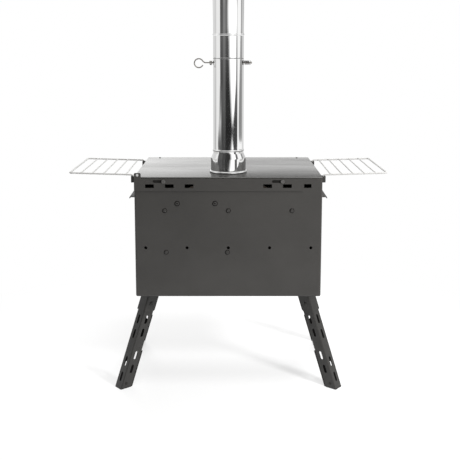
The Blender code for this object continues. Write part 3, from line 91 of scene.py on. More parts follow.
RACK_PITCH = 0.0272
RACK_BARS = 5
BAR_OVERHANG = 0.0006
WELD_SHIFT = 0.0012
WELD_SIZE = (0.0014, 0.0019, 0.0012)
REAR_FACE = -0.1877
SCREW_Z = 0.4694
UPPER_RIVET_Z = 0.4520
LOWER_RIVET_Z = 0.3496
GUIDE_Z = 0.5230
GUIDES = (-0.1546, 0.1296)
SLIDER_TRAVEL = 0.022
GUIDE_SLOT_LENGTH = 0.0292
GUIDE_SLOT_HALF = 0.0033

# Forms of the pipe: beads, the joint's gap, rounded shoulders, and the bell's rolled rim
BEAD_STAND = 0.0012
BEAD_HALF = 0.0010
JOINT_GAP = 0.0009
SHOULDER_ROUND = 0.0011
RIM_CENTRE = (BELL_RADIUS + 0.0012, 0.0022)
RIM_RADIUS = 0.0019
BELL_WALL_END = 0.0052

# Weld line down the pipe
SEAM_WIDTH = 0.0009
SEAM_WAVER = 0.00015
SEAM_RISE = 0.00022
SEAM_CLEARANCE = 0.00002

# Damper, along X from the flue's middle
WIRE_END = 0.0565
ROD_END = 0.0547
COLLAR_START = -0.0395
COLLAR_SCREW = -0.0427
SPRING_RADIUS = 0.0050
SPRING_WIRE = 0.0006
SPRING_CURLS = 6

# Rear fasteners: node and X of the screws, and height of the rivets too, and how far their
# heads, their rings and sockets of painted shade, and the painted shade behind the slider's slots
# lie off the rear panel
REAR_SCREWS = (("liner_screw_1", -0.1226), ("liner_screw_2", -0.0319))
REAR_RIVETS = (("upper_rivet_1", -0.1525, UPPER_RIVET_Z), ("upper_rivet_2", 0.0, UPPER_RIVET_Z),
               ("upper_rivet_3", 0.1525, UPPER_RIVET_Z), ("lower_rivet_1", -0.1500, LOWER_RIVET_Z),
               ("lower_rivet_2", -0.0024, LOWER_RIVET_Z))
HEAD_Y = REAR_FACE - 0.0003
RING_Y = REAR_FACE - 0.00005
SOCKET_Y = REAR_FACE - 0.0010
SHADE_Y = REAR_FACE - 0.00015

# Legs: turn and lean of each leg, and how the inner angle lies in the outer one, which sets where
# the inner one gets painted shade
LEG_HEADING = radians(39.2)
LEG_TILT = radians(21.1)
LEG_TOP = (0.1947, 0.1198, 0.2385)
LEG_MIDDLE_Y = -0.0127
LEG_COVER = 0.026
LEG_BEHIND = 0.0002

# Camera
CAMERA_PLACE = (0.0, -2.0325, 0.8330)
CAMERA_PITCH = 8.382
CAMERA_LENS = 61.403
CAMERA_SENSOR = 36
CAMERA_SHIFT = (0.0037, -0.14)

# Floor: glow and colour for the rays that see it, which together make it white, its colour
# for the others, its size, and where it fades into the backdrop
FLOOR_LIFT = 0.61
FLOOR_SEEN = 0.38
FLOOR_PALE = 0.86
FLOOR_RADIUS = 9
FLOOR_DROP = 0.0002
FLOOR_FADE = (0.45, 0.95)

# Light of the sky, and what later reflections keep of the backdrop and of the cards
AMBIENT = 0.32
LATER_BACKDROP = 0.16
LATER_CARDS = 0.25

# Reflected cards: distance from the flue, and how much nearer each is than the one before
CARD_DISTANCE = 2.6
CARD_STEP = 0.01
CARD_COLUMNS = 10

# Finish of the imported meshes
WELD_DISTANCE = 0.00001
FLAT_ANGLE = radians(0.5)
SHARP_ANGLE = radians(38)
BEVEL_ANGLE = radians(50)

# Smallest radius that is not a point on a turned piece's axis
ON_AXIS = 1e-6

# Where the top plate dips towards its edge over the rear panel
DIP_START = -0.085
DIP_END = -0.1877
DIP_DEPTH = 0.0018

# Linear colours
BODY_GREY = (0.0425, 0.0405, 0.0378)
BLACK_PAINT = (0.030, 0.029, 0.027)
TOP_GREY = (0.250, 0.248, 0.240)
STAINLESS = (0.94, 0.94, 0.935)
WIRE_STEEL = (0.64, 0.635, 0.62)
ZINC = (0.42, 0.41, 0.39)
IRON = (0.035, 0.033, 0.031)
GRIP = (0.018, 0.018, 0.018)
SOOT = (0.012, 0.011, 0.010)
GAP_BLACK = (0.0045, 0.0042, 0.0040)
SLOT_BLACK = (0.020, 0.019, 0.018)
GROOVE_GREY = (0.30, 0.30, 0.30)
# The spring's grey is darker than its steel: painted shade for the dark reflections between its
# coils
SPRING_GREY = (0.27, 0.26, 0.25)
WELD_GREY = (0.30, 0.29, 0.28)
SEAM_GREY = (0.66, 0.64, 0.60)
DAMPER_GREY = (0.40, 0.38, 0.35)
DULL_ZINC = (0.200, 0.195, 0.188)
CLEAN_GLASS = (0.035, 0.029, 0.024)
HAZY_GLASS = (0.065, 0.053, 0.045)
SKY_WHITE = (1.0, 0.995, 0.985, 1)

# Directions
UPRIGHT = (0, 0, 1)
REARWARD = (0, -1, 0)


# Nodes

def calculate(tree, operation, first, second):
    """Result of a math node, from two sockets or numbers."""
    node = tree.nodes.new("ShaderNodeMath")
    node.operation = operation
    for socket, value in zip(node.inputs, (first, second)):
        if isinstance(value, (int, float)):
            socket.default_value = value
        else:
            tree.links.new(value, socket)
    return node.outputs[0]


def remap(tree, value, old, new, curve="LINEAR"):
    """Value carried from an old range to a new one."""
    node = tree.nodes.new("ShaderNodeMapRange")
    node.interpolation_type = curve
    for name, number in zip(("From Min", "From Max", "To Min", "To Max"), (*old, *new)):
        node.inputs[name].default_value = number
    tree.links.new(value, node.inputs["Value"])
    return node.outputs["Result"]


def blended(tree, factor, first, second):
    """Mix of two colours, each a triple or a socket."""
    mix = tree.nodes.new("ShaderNodeMix")
    mix.data_type = "RGBA"
    tree.links.new(factor, mix.inputs[0])
    for socket, colour in ((mix.inputs[6], first), (mix.inputs[7], second)):
        if isinstance(colour, tuple):
            socket.default_value = (*colour, 1)
        else:
            tree.links.new(colour, socket)
    return mix.outputs[2]


def stored(tree, name):
    """Value that a mesh keeps under a name."""
    node = tree.nodes.new("ShaderNodeAttribute")
    node.attribute_name = name
    return node.outputs["Fac"]


def measured_along(tree, vector, direction):
    """How far a vector reaches in a direction."""
    node = tree.nodes.new("ShaderNodeVectorMath")
    node.operation = "DOT_PRODUCT"
    node.inputs[1].default_value = direction
    tree.links.new(vector, node.inputs[0])
    return node.outputs["Value"]


def compared(tree, operation, value, limit):
    """Whether a value is less or greater than a limit."""
    node = tree.nodes.new("FunctionNodeCompare")
    node.operation = operation
    node.inputs[1].default_value = limit
    tree.links.new(value, node.inputs[0])
    return node.outputs["Result"]


def end_in_mix(tree, kind, factor, first, second):
    """Let a tree's output show a mix of two shaders."""
    mix = tree.nodes.new("ShaderNodeMixShader")
    output = tree.nodes.new(kind)
    tree.links.new(factor, mix.inputs[0])
    tree.links.new(first.outputs[0], mix.inputs[1])
    tree.links.new(second.outputs[0], mix.inputs[2])
    tree.links.new(mix.outputs[0], output.inputs["Surface"])


# Materials

class Look:
    """A node material with the few nodes that every finish here needs."""

    def __init__(self, name, metallic=0.0):
        self.material = bpy.data.materials.new(name)
        self.material.use_nodes = True
        self.tree = self.material.node_tree
        self.nodes, self.links = self.tree.nodes, self.tree.links
        self.shader = self.nodes["Principled BSDF"]
        self.shader.inputs["Metallic"].default_value = metallic

    def noise(self, scale, detail, stretch=(1, 1, 1)):
        """Noise over the object's own place, finer along an axis that is stretched."""
        place = self.nodes.new("ShaderNodeTexCoord")
        mapping = self.nodes.new("ShaderNodeMapping")
        texture = self.nodes.new("ShaderNodeTexNoise")
        mapping.inputs["Scale"].default_value = stretch
        texture.inputs["Scale"].default_value = scale
        texture.inputs["Detail"].default_value = detail
        self.links.new(place.outputs["Object"], mapping.inputs["Vector"])
        self.links.new(mapping.outputs["Vector"], texture.inputs["Vector"])
        return texture.outputs["Fac"]

    def spread(self, value, low, high):
        """Stretch a noise value over the range from low to high."""
        return remap(self.tree, value, (0.3, 0.7), (low, high))

    def limit(self, attribute, edge, below, above):
        """One value where a mesh's own value is below an edge, and another above it."""
        width = 0.0001
        return remap(self.tree, stored(self.tree, attribute), (edge - width, edge + width),
                     (below, above))

    def blend(self, factor, first, second):
        """Mix of two colours, each a triple or a socket."""
        return blended(self.tree, factor, first, second)

    def colour(self, socket):
        """Let a colour drive the shader's base."""
        self.links.new(socket, self.shader.inputs["Base Color"])

    def roughness(self, socket):
        """Let a value drive the shader's roughness."""
        self.links.new(socket, self.shader.inputs["Roughness"])

    def bump(self, height, strength, distance, under=None):
        """Bend the shader's normal by a height, over another bump where one is given."""
        node = self.nodes.new("ShaderNodeBump")
        node.inputs["Strength"].default_value = strength
        node.inputs["Distance"].default_value = distance
        self.links.new(height, node.inputs["Height"])
        if under is not None:
            self.links.new(under, node.inputs["Normal"])
        self.links.new(node.outputs["Normal"], self.shader.inputs["Normal"])
        return node.outputs["Normal"]


def shade(colour, factor):
    """A colour made darker or lighter."""
    return tuple(channel * factor for channel in colour)


def painted(name, colour, low, high):
    """Baked satin paint: cloudy colour, uneven sheen and a fine grain."""
    look = Look(name)
    cloud = look.spread(look.noise(7, 3), 0, 1)
    look.colour(look.blend(cloud, shade(colour, 0.9), shade(colour, 1.1)))
    look.roughness(look.spread(look.noise(26, 4), low, high))
    look.bump(look.noise(1500, 2), strength=0.10, distance=0.0004)
    return look.material


def rolled_steel(name, colour):
    """Steel plate with faint rolling marks along X, a soft shine and a dipped edge."""
    look = Look(name, metallic=0.75)
    streak = look.spread(look.noise(9, 4, (0.5, 5, 5)), 0, 1)
    look.colour(look.blend(streak, shade(colour, 0.93), shade(colour, 1.07)))
    look.roughness(look.spread(look.noise(7, 3, (0.5, 2, 2)), 0.15, 0.24))
    place = look.nodes.new("ShaderNodeTexCoord")
    axes = look.nodes.new("ShaderNodeSeparateXYZ")
    look.links.new(place.outputs["Object"], axes.inputs[0])
    dip = remap(look.tree, axes.outputs["Y"], (DIP_START, DIP_END), (0, 1))
    curve = calculate(look.tree, "POWER", dip, 2.0)
    dipped = look.bump(curve, strength=1.0, distance=-DIP_DEPTH)
    look.bump(look.noise(340, 2, (0.06, 1, 1)), strength=0.03, distance=0.0002, under=dipped)
    return look.material


def polished(name, colour, low=0.03, high=0.09):
    """Bright stainless with hair-fine marks along the tube."""
    look = Look(name, metallic=1.0)
    along = (1, 1, 0.02)
    haze = look.spread(look.noise(14, 3), 0, 1)
    look.colour(look.blend(haze, shade(colour, 0.97), colour))
    look.roughness(look.spread(look.noise(420, 3, along), low, high))
    look.bump(look.noise(600, 2, along), strength=0.015, distance=0.0002)
    return look.material


def bare_metal(name, colour, low, high, vary=0.12, metallic=1.0):
    """Zinc or plain wire: mottled, with a grainy sheen."""
    look = Look(name, metallic=metallic)
    mottle = look.spread(look.noise(160, 4), 0, 1)
    look.colour(look.blend(mottle, shade(colour, 1 - vary), shade(colour, 1 + vary)))
    look.roughness(look.spread(look.noise(500, 3), low, high))
    look.bump(look.noise(1200, 2), strength=0.08, distance=0.0002)
    return look.material


def cast(name, colour):
    """Rough black iron."""
    look = Look(name, metallic=0.2)
    mottle = look.spread(look.noise(60, 5), 0, 1)
    look.colour(look.blend(mottle, shade(colour, 0.75), shade(colour, 1.3)))
    look.roughness(look.spread(look.noise(120, 4), 0.60, 0.80))
    look.bump(look.noise(520, 4), strength=0.35, distance=0.0005)
    return look.material


def nested_paint(name, colour):
    """Leg paint with painted shade: black where the outer angle covers the inner one."""
    look = Look(name)
    near = look.limit("reach", LEG_COVER, 1, 0)
    behind = look.limit("depth", LEG_BEHIND, 0, 1)
    cloud = look.spread(look.noise(7, 3), 0, 1)
    paint = look.blend(cloud, shade(colour, 0.9), shade(colour, 1.1))
    hidden_shade = calculate(look.tree, "MULTIPLY", near, behind)
    look.colour(look.blend(hidden_shade, paint, GAP_BLACK))
    look.roughness(look.spread(look.noise(26, 4), 0.60, 0.75))
    look.shader.inputs["Specular IOR Level"].default_value = 0.10
    look.bump(look.noise(1500, 2), strength=0.10, distance=0.0004)
    return look.material


def shadowed(name, colour):
    """Matt black that paints shade: in a gap, round a head, or on the inside of an angle."""
    look = Look(name)
    cloud = look.spread(look.noise(60, 3), 0, 1)
    look.colour(look.blend(cloud, shade(colour, 0.8), shade(colour, 1.25)))
    look.roughness(look.spread(look.noise(90, 3), 0.85, 0.95))
    look.shader.inputs["Specular IOR Level"].default_value = 0.08
    look.bump(look.noise(900, 2), strength=0.10, distance=0.0002)
    return look.material


def stove_glass(name):
    """Clear ceramic glass with a faint brown tint and a trace of soot."""
    look = Look(name)
    soot = look.spread(look.noise(18, 4), 0, 1)
    look.colour(look.blend(soot, CLEAN_GLASS, HAZY_GLASS))
    look.roughness(look.spread(look.noise(40, 3), 0.02, 0.07))
    look.shader.inputs["Transmission Weight"].default_value = 0.85
    look.shader.inputs["IOR"].default_value = 1.5
    return look.material


# Meshes

def as_piece(name, work, material, angle=35, matrix=None):
    """Finish a bmesh as a smooth-shaded object with one material."""
    mesh = bpy.data.meshes.new(name)
    bmesh.ops.recalc_face_normals(work, faces=work.faces)
    work.to_mesh(mesh)
    work.free()
    mesh.shade_smooth()
    mesh.set_sharp_from_angle(angle=radians(angle))
    if matrix is not None:
        mesh.transform(matrix)
    mesh.materials.append(material)
    piece = bpy.data.objects.new(name, mesh)
    bpy.context.scene.collection.objects.link(piece)
    return piece


def standing(place, axis):
    """Matrix that sets a piece made along Z on a place, along another axis."""
    matrix = Vector(axis).to_track_quat("Z", "Y").to_matrix().to_4x4()
    matrix.translation = Vector(place)
    return matrix


def lathe(name, profile, origin, axis, material, steps=48, angle=35):
    """Turned solid from a closed (radius, height) profile."""
    work = bmesh.new()
    rings = []
    for radius, height in profile:
        if radius < ON_AXIS:
            rings.append([work.verts.new((0, 0, height))] * steps)
            continue
        rings.append([work.verts.new((radius * cos(2 * pi * step / steps),
                                      radius * sin(2 * pi * step / steps), height))
                      for step in range(steps)])
    closed = profile[0][0] > ON_AXIS
    pairs = list(zip(rings, rings[1:])) + ([(rings[-1], rings[0])] if closed else [])
    for above, below in pairs:
        for step in range(steps):
            following = (step + 1) % steps
            corners = [above[step], above[following], below[following], below[step]]
            unique = list(dict.fromkeys(corners))
            if len(unique) > 2:
                work.faces.new(unique)
    return as_piece(name, work, material, angle, standing(origin, axis))


def fillet(profile, radius, steps=4):
    """Round each inner corner of an open profile of (radius, height) points."""
    points = [Vector(point) for point in profile]
    path = [points[0]]
    for before, corner, after in zip(points, points[1:], points[2:]):
        arriving = corner - before
        leaving = after - corner
        turn = arriving.angle(leaving, 0)
        if turn < 0.02:
            path.append(corner)
            continue
        reach = min(radius, arriving.length * 0.45, leaving.length * 0.45)
        start = corner - arriving.normalized() * reach
        end = corner + leaving.normalized() * reach
        for step in range(steps + 1):
            share = step / steps
            path.append(start * (1 - share) ** 2 + corner * 2 * share * (1 - share)
                        + end * share ** 2)
    return [tuple(point) for point in path + [points[-1]]]


def arc(centre, radius, first, last, steps):
    """Points on a circle in a profile, from one angle to another, in degrees."""
    points = []
    for step in range(steps + 1):
        angle = radians(first + (last - first) * step / steps)
        points.append((centre[0] + radius * cos(angle), centre[1] + radius * sin(angle)))
    return points


def steadied(profile, run=0.008, margin=0.0015):
    """Add a point near each end of every long run, so that shading stays straight between."""
    points = []
    for before, after in zip(profile, profile[1:] + profile[:1]):
        points.append(before)
        start, end = Vector(before), Vector(after)
        if (end - start).length > run:
            step = (end - start).normalized() * margin
            points += [tuple(start + step), tuple(end - step)]
    return points


def square_to(direction):
    """A direction at right angles to another one."""
    side = direction.cross(Vector((0, 0, 1)))
    if side.length < 0.2:
        side = direction.cross(Vector((0, 1, 0)))
    return side.normalized()


def tube(work, points, radius, sides=12):
    """Add a round tube with closed ends to a bmesh, carried along without twist."""
    points = [Vector(point) for point in points]
    side = square_to((points[1] - points[0]).normalized())
    rings = []
    for index, point in enumerate(points):
        before = points[max(index - 1, 0)]
        after = points[min(index + 1, len(points) - 1)]
        direction = (after - before).normalized()
        side = (side - direction * side.dot(direction)).normalized()
        across = direction.cross(side)
        rings.append([work.verts.new(point + (side * cos(2 * pi * step / sides)
                                              + across * sin(2 * pi * step / sides)) * radius)
                      for step in range(sides)])
    for one, two in zip(rings, rings[1:]):
        for step in range(sides):
            following = (step + 1) % sides
            work.faces.new((one[step], one[following], two[following], two[step]))
    work.faces.new(rings[0][::-1])
    work.faces.new(rings[-1])


def bent_path(points, radius, steps=8):
    """Path in space with an arc at each inner corner."""
    points = [Vector(point) for point in points]
    path = [points[0]]
    for before, corner, after in zip(points, points[1:], points[2:]):
        arriving = (corner - before).normalized()
        leaving = (after - corner).normalized()
        half = (-arriving).angle(leaving) / 2
        centre = corner + (leaving - arriving).normalized() * radius / sin(half)
        start = corner - arriving * radius * cos(half) / sin(half) - centre
        end = corner + leaving * radius * cos(half) / sin(half) - centre
        for step in range(steps + 1):
            path.append(centre + start.slerp(end, step / steps).normalized() * radius)
    return path + [points[-1]]


def blob(work, centre, size):
    """Small rounded lump of weld."""
    matrix = Matrix.Translation(centre) @ Matrix.Diagonal((*size, 1))
    bmesh.ops.create_icosphere(work, subdivisions=2, radius=1, matrix=matrix)


# CAD nodes that keep their shape

def new_group(name):
    """Empty geometry-nodes group with its input and output."""
    group = bpy.data.node_groups.new(name, "GeometryNodeTree")
    group.interface.new_socket("Geometry", in_out="INPUT", socket_type="NodeSocketGeometry")
    group.interface.new_socket("Geometry", in_out="OUTPUT", socket_type="NodeSocketGeometry")
    source = group.nodes.new("NodeGroupInput")
    target = group.nodes.new("NodeGroupOutput")
    return group, source.outputs[0], target.inputs[0]


def rounding_group():
    """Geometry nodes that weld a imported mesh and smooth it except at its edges."""
    group, source, target = new_group("weld_and_smooth")
    nodes, links = group.nodes, group.links
    merge = nodes.new("GeometryNodeMergeByDistance")
    merge.inputs["Distance"].default_value = WELD_DISTANCE
    links.new(source, merge.inputs["Geometry"])
    stream = merge.outputs["Geometry"]
    for attribute in ("custom_normal", "sharp_edge", "sharp_face"):
        remove = nodes.new("GeometryNodeRemoveAttribute")
        remove.inputs["Name"].default_value = attribute
        links.new(stream, remove.inputs["Geometry"])
        stream = remove.outputs["Geometry"]
    smooth = nodes.new("GeometryNodeSetShadeSmooth")
    smooth.domain = "FACE"
    links.new(stream, smooth.inputs["Geometry"])
    sharp = nodes.new("GeometryNodeSetShadeSmooth")
    sharp.domain = "EDGE"
    sharp.inputs["Shade Smooth"].default_value = False
    angle = nodes.new("GeometryNodeInputMeshEdgeAngle")
    bent = compared(group, "GREATER_THAN", angle.outputs["Unsigned Angle"], SHARP_ANGLE)
    links.new(bent, sharp.inputs["Selection"])
    links.new(smooth.outputs["Geometry"], sharp.inputs["Geometry"])
    links.new(sharp.outputs["Geometry"], target)
    return group


class Corner:
    """Directions and ridge of one leg, from its side (X) and its end (Y)."""

    def __init__(self, side, end):
        heading = Vector((side * cos(LEG_HEADING), end * sin(LEG_HEADING), 0))
        self.up = -heading * sin(LEG_TILT) + Vector((0, 0, cos(LEG_TILT)))
        self.inward = -heading * cos(LEG_TILT) - Vector((0, 0, sin(LEG_TILT)))
        self.back = Vector((side * sin(LEG_HEADING), -end * cos(LEG_HEADING), 0))
        top = Vector((side * LEG_TOP[0], LEG_MIDDLE_Y + end * LEG_TOP[1], LEG_TOP[2]))
        self.foot = top - self.up * top.z / cos(LEG_TILT)


def inside_group(name, corner):
    """Painted shade: blacken the faces that look into the hollow of an angle."""
    group, source, target = new_group(name)
    nodes, links = group.nodes, group.links
    facing = nodes.new("GeometryNodeInputNormal").outputs[0]
    hollow = -(corner.inward + corner.back).normalized()
    inside = compared(group, "LESS_THAN", measured_along(group, facing, hollow), -0.5)
    blacken = nodes.new("GeometryNodeSetMaterial")
    blacken.inputs["Material"].default_value = INSIDE_BLACK
    links.new(source, blacken.inputs["Geometry"])
    links.new(inside, blacken.inputs["Selection"])
    links.new(blacken.outputs["Geometry"], target)
    return group


def nested_group(name, corner):
    """Keep each point's reach from the ridge and its depth behind it, for the painted shade on the
    inner angle.
    """
    group, stream, target = new_group(name)
    nodes, links = group.nodes, group.links
    place = nodes.new("GeometryNodeInputPosition").outputs[0]
    spans = [calculate(group, "SUBTRACT", measured_along(group, place, direction),
                       corner.foot.dot(direction))
             for direction in (corner.inward, corner.back)]
    for attribute, operation in (("reach", "MAXIMUM"), ("depth", "MINIMUM")):
        store = nodes.new("GeometryNodeStoreNamedAttribute")
        store.inputs["Name"].default_value = attribute
        links.new(stream, store.inputs["Geometry"])
        links.new(calculate(group, operation, *spans), store.inputs["Value"])
        stream = store.outputs["Geometry"]
    links.new(stream, target)
    return group


def dress(name, material, edge=0.0003, groups=()):
    """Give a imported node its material, smooth bends and slightly worn edges."""
    node = NODES[name]
    for slot in node.material_slots:
        slot.material = material
    for group in groups:
        node.modifiers.new(group.name, "NODES").node_group = group
    weld = node.modifiers.new("weld", "NODES")
    weld.node_group = ROUNDING
    flat = node.modifiers.new("flat", "DECIMATE")
    flat.decimate_type = "DISSOLVE"
    flat.angle_limit = FLAT_ANGLE
    if edge:
        bevel = node.modifiers.new("edges", "BEVEL")
        bevel.width = edge
        bevel.segments = 2
        bevel.limit_method = "ANGLE"
        bevel.angle_limit = BEVEL_ANGLE
        bevel.use_clamp_overlap = True
    normals = node.modifiers.new("normals", "WEIGHTED_NORMAL")
    normals.keep_sharp = True


# Flue

def bead(height):
    """Profile of a bead rolled into the pipe, from its upper end to its lower one."""
    crest = PIPE_RADIUS + BEAD_STAND
    return [(PIPE_RADIUS, height + 2 * BEAD_HALF), (crest, height + BEAD_HALF),
            (crest, height - BEAD_HALF), (PIPE_RADIUS, height - 2 * BEAD_HALF)]


def flue_lower():
    """Bell with a rolled rim, two formed shoulders, the pipe and its spigot."""
    rim = arc(RIM_CENTRE, RIM_RADIUS, 110, -90, 14)
    neck = SEAM_HEIGHT - JOINT_GAP
    outer = [(SPIGOT_RADIUS, LOWER_END), (SPIGOT_RADIUS, neck),
             (PIPE_RADIUS, neck - PIPE_WALL), *bead(BELL_BEAD),
             (PIPE_RADIUS, BELL_SHOULDER)]
    cone = [(BELL_RADIUS, BELL_HEIGHT), (BELL_RADIUS, BELL_WALL_END)]
    inner = [(BELL_RADIUS - PIPE_WALL, 0.0003), (BELL_RADIUS - PIPE_WALL, BELL_HEIGHT - 0.0004),
             (PIPE_RADIUS - PIPE_WALL, BELL_SHOULDER - 0.0004),
             (PIPE_RADIUS - PIPE_WALL, neck - 2 * PIPE_WALL),
             (SPIGOT_RADIUS - PIPE_WALL, neck - PIPE_WALL / 2),
             (SPIGOT_RADIUS - PIPE_WALL, LOWER_END)]
    profile = fillet(outer, SHOULDER_ROUND, 8) + cone + rim[1:] + inner
    piece = lathe("flue_lower_pipe", steadied(profile), FLUE, UPRIGHT, PIPE_STEEL, 160, 20)
    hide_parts("flue_lower")
    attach(piece, "lower_flue")
    # Dark polished ring in the joint's gap: painted shade standing in for the gap's shadow
    low, high, radius = neck - 0.0004, SEAM_HEIGHT, SPIGOT_RADIUS
    gap_shade = lathe("flue_joint_painted_shade",
                   [(radius + 0.0008, low), (radius + 0.0008, high), (radius, high), (radius, low)],
                   FLUE, UPRIGHT, GROOVE_STEEL, 96)
    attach(gap_shade, "lower_flue")
    pipe_seam("flue_lower_seam", BELL_BEAD + 0.003, neck - 0.002, "lower_flue")


def flue_upper():
    """Upper pipe with its stop bead and the spigot at its open end."""
    foot = SEAM_HEIGHT + 0.0003
    outer = [(SPIGOT_RADIUS, UPPER_END), (SPIGOT_RADIUS, UPPER_TOP),
             (PIPE_RADIUS, UPPER_TOP - PIPE_WALL), *bead(UPPER_BEAD),
             (PIPE_RADIUS, foot + 0.0004), (PIPE_RADIUS - PIPE_WALL / 2, foot)]
    inner = [(PIPE_RADIUS - PIPE_WALL, foot), (PIPE_RADIUS - PIPE_WALL, UPPER_TOP - 0.0016),
             (SPIGOT_RADIUS - PIPE_WALL, UPPER_TOP - 0.0004),
             (SPIGOT_RADIUS - PIPE_WALL, UPPER_END)]
    profile = fillet(outer, SHOULDER_ROUND) + inner
    piece = lathe("flue_upper_pipe", steadied(profile), FLUE, UPRIGHT, PIPE_STEEL, 160)
    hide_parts("flue_upper")
    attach(piece, "upper_flue")
    pipe_seam("flue_upper_seam", SEAM_HEIGHT + 0.003, UPPER_BEAD - 0.003, "upper_flue")
    pipe_seam("flue_upper_seam_top", UPPER_BEAD + 0.003, UPPER_TOP - 0.003, "upper_flue")


def pipe_seam(name, low, high, body):
    """Flat weld line down the pipe, on its door side."""
    work = bmesh.new()
    steps = 90
    rows = []
    for step in range(steps + 1):
        z = FLUE.z + low + (high - low) * step / steps
        width = SEAM_WIDTH + SEAM_WAVER * sin(step * 2.4)
        row = []
        for side, lift in ((-1, 0.0), (-0.5, SEAM_RISE), (0.5, SEAM_RISE), (1, 0.0)):
            angle = pi / 2 + side * width / PIPE_RADIUS
            radius = PIPE_RADIUS + lift + SEAM_CLEARANCE
            row.append(work.verts.new((FLUE.x + radius * cos(angle),
                                       FLUE.y + radius * sin(angle), z)))
        rows.append(row)
    for one, two in zip(rows, rows[1:]):
        for index in range(3):
            work.faces.new((one[index], one[index + 1], two[index + 1], two[index]))
    piece = as_piece(name, work, SEAM_STEEL, 60)
    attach(piece, body)


# Damper

def damper_handle(centre):
    """Wire with an open loop at one end and a riveted head at the other."""
    loop = centre + Vector((LOOP_X, 0, -LOOP_DROP))
    path = []
    steps = 40
    for step in range(steps + 1):
        angle = radians(LOOP_START - LOOP_TURN * step / steps)
        path.append(loop + Vector((LOOP_RADIUS * cos(angle), 0, LOOP_RADIUS * sin(angle))))
    neck = [path.pop() + Vector((-0.0006, 0, 0.0006)), loop + Vector((0.0103, 0, 0.0042)),
            loop + Vector((0.0145, 0, LOOP_DROP)), centre + Vector((WIRE_END, 0, 0))]
    path += bent_path(neck, 0.003, 5)
    work = bmesh.new()
    tube(work, path, ROD_RADIUS, 16)
    handle = as_piece("damper_wire", work, DAMPER_STEEL)
    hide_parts("damper_handle")
    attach(handle, "damper")
    head = [(0, 0.0030), (0.0017, 0.0030), (0.0025, 0.0022), (0.0027, 0.0003), (0, 0.0003)]
    end = lathe("damper_rod_end", fillet(head, 0.0004), centre + Vector((ROD_END, 0, 0)),
                (1, 0, 0), DAMPER_STEEL, 24)
    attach(end, "damper")


def damper_spring(centre):
    """Coil spring on the rod, and the washer that it pushes against."""
    coil = []
    steps = 22
    length = SPRING_END - SPRING_START - 2 * SPRING_WIRE
    for step in range(SPRING_CURLS * steps + 1):
        angle = 2 * pi * step / steps
        coil.append(centre + Vector((SPRING_START + length * step / (SPRING_CURLS * steps),
                                     SPRING_RADIUS * cos(angle), SPRING_RADIUS * sin(angle))))
    work = bmesh.new()
    tube(work, coil, SPRING_WIRE, 10)
    spring = as_piece("damper_coil", work, SPRING_STEEL)
    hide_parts("damper_spring")
    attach(spring, "damper")
    ring = [(0.0052, 0.0012), (0.0052, 0.0), (0.0018, 0.0), (0.0018, 0.0012)]
    washer = lathe("damper_disc", ring, centre + Vector((SPRING_END, 0, 0)), (1, 0, 0),
                   DAMPER_STEEL, 32)
    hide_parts("damper_washer")
    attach(washer, "damper")


def damper_collar(centre):
    """Collar that keeps the rod in the pipe, with its grub screw."""
    sleeve = [(0.0045, 0.0061), (0.0041, 0.0065), (0.0018, 0.0065), (0.0018, 0.0),
              (0.0041, 0.0), (0.0045, 0.0004)]
    collar = lathe("damper_stop", sleeve, centre + Vector((COLLAR_START, 0, 0)), (-1, 0, 0),
                   ZINC_LOOK, 32)
    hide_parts("damper_collar")
    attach(collar, "damper")
    screw = [(0, 0.0054), (0.0006, 0.0054), (0.0006, 0.0060), (0.0014, 0.0060), (0.0016, 0.0056),
             (0.0016, 0.0040), (0, 0.0040)]
    grub = lathe("damper_stop_screw", screw, centre + Vector((COLLAR_SCREW, 0, 0)), (0, 0, -1),
                 DARK_ZINC, 20)
    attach(grub, "damper")


def damper():
    """Handle, spring and collar of the flue damper."""
    centre = Vector((FLUE.x, FLUE.y, DAMPER_Z))
    damper_handle(centre)
    damper_spring(centre)
    damper_collar(centre)


# Racks

def rack(side):
    """Frame, bars and weld lumps of one side rack."""
    name = "left" if side < 0 else "right"
    hook, outer = side * RACK_HOOK_X, side * RACK_OUTER_X
    corners = [(hook, RACK_NEAR, RACK_HOOK_Z), (hook, RACK_NEAR, RACK_INNER_Z),
               (outer, RACK_NEAR, RACK_OUTER_Z), (outer, RACK_FAR, RACK_OUTER_Z),
               (hook, RACK_FAR, RACK_INNER_Z), (hook, RACK_FAR, RACK_HOOK_Z)]
    work = bmesh.new()
    tube(work, bent_path(corners, RACK_BEND), RACK_WIRE, 16)
    welds = bmesh.new()
    slope = (RACK_OUTER_Z - RACK_INNER_Z) / (outer - hook)
    for index in range(RACK_BARS):
        x = outer - side * (index + 1) * RACK_PITCH
        z = RACK_INNER_Z + slope * (x - hook) + RACK_BAR / 2
        ends = [(x, RACK_NEAR - BAR_OVERHANG, z), (x, RACK_FAR + BAR_OVERHANG, z)]
        tube(work, ends, RACK_BAR, 12)
        for y in (RACK_NEAR, RACK_FAR):
            for shift in (-1, 1):
                blob(welds, Vector((x + shift * WELD_SHIFT, y, z)), WELD_SIZE)
    piece = as_piece(f"rack_{name}_wires", work, RACK_STEEL, 50)
    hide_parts(f"rack_{name}")
    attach(piece, f"{name}_rack")
    lumps = as_piece(f"rack_{name}_welds", welds, WELD_STEEL, 60)
    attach(lumps, f"{name}_rack")


# Fasteners

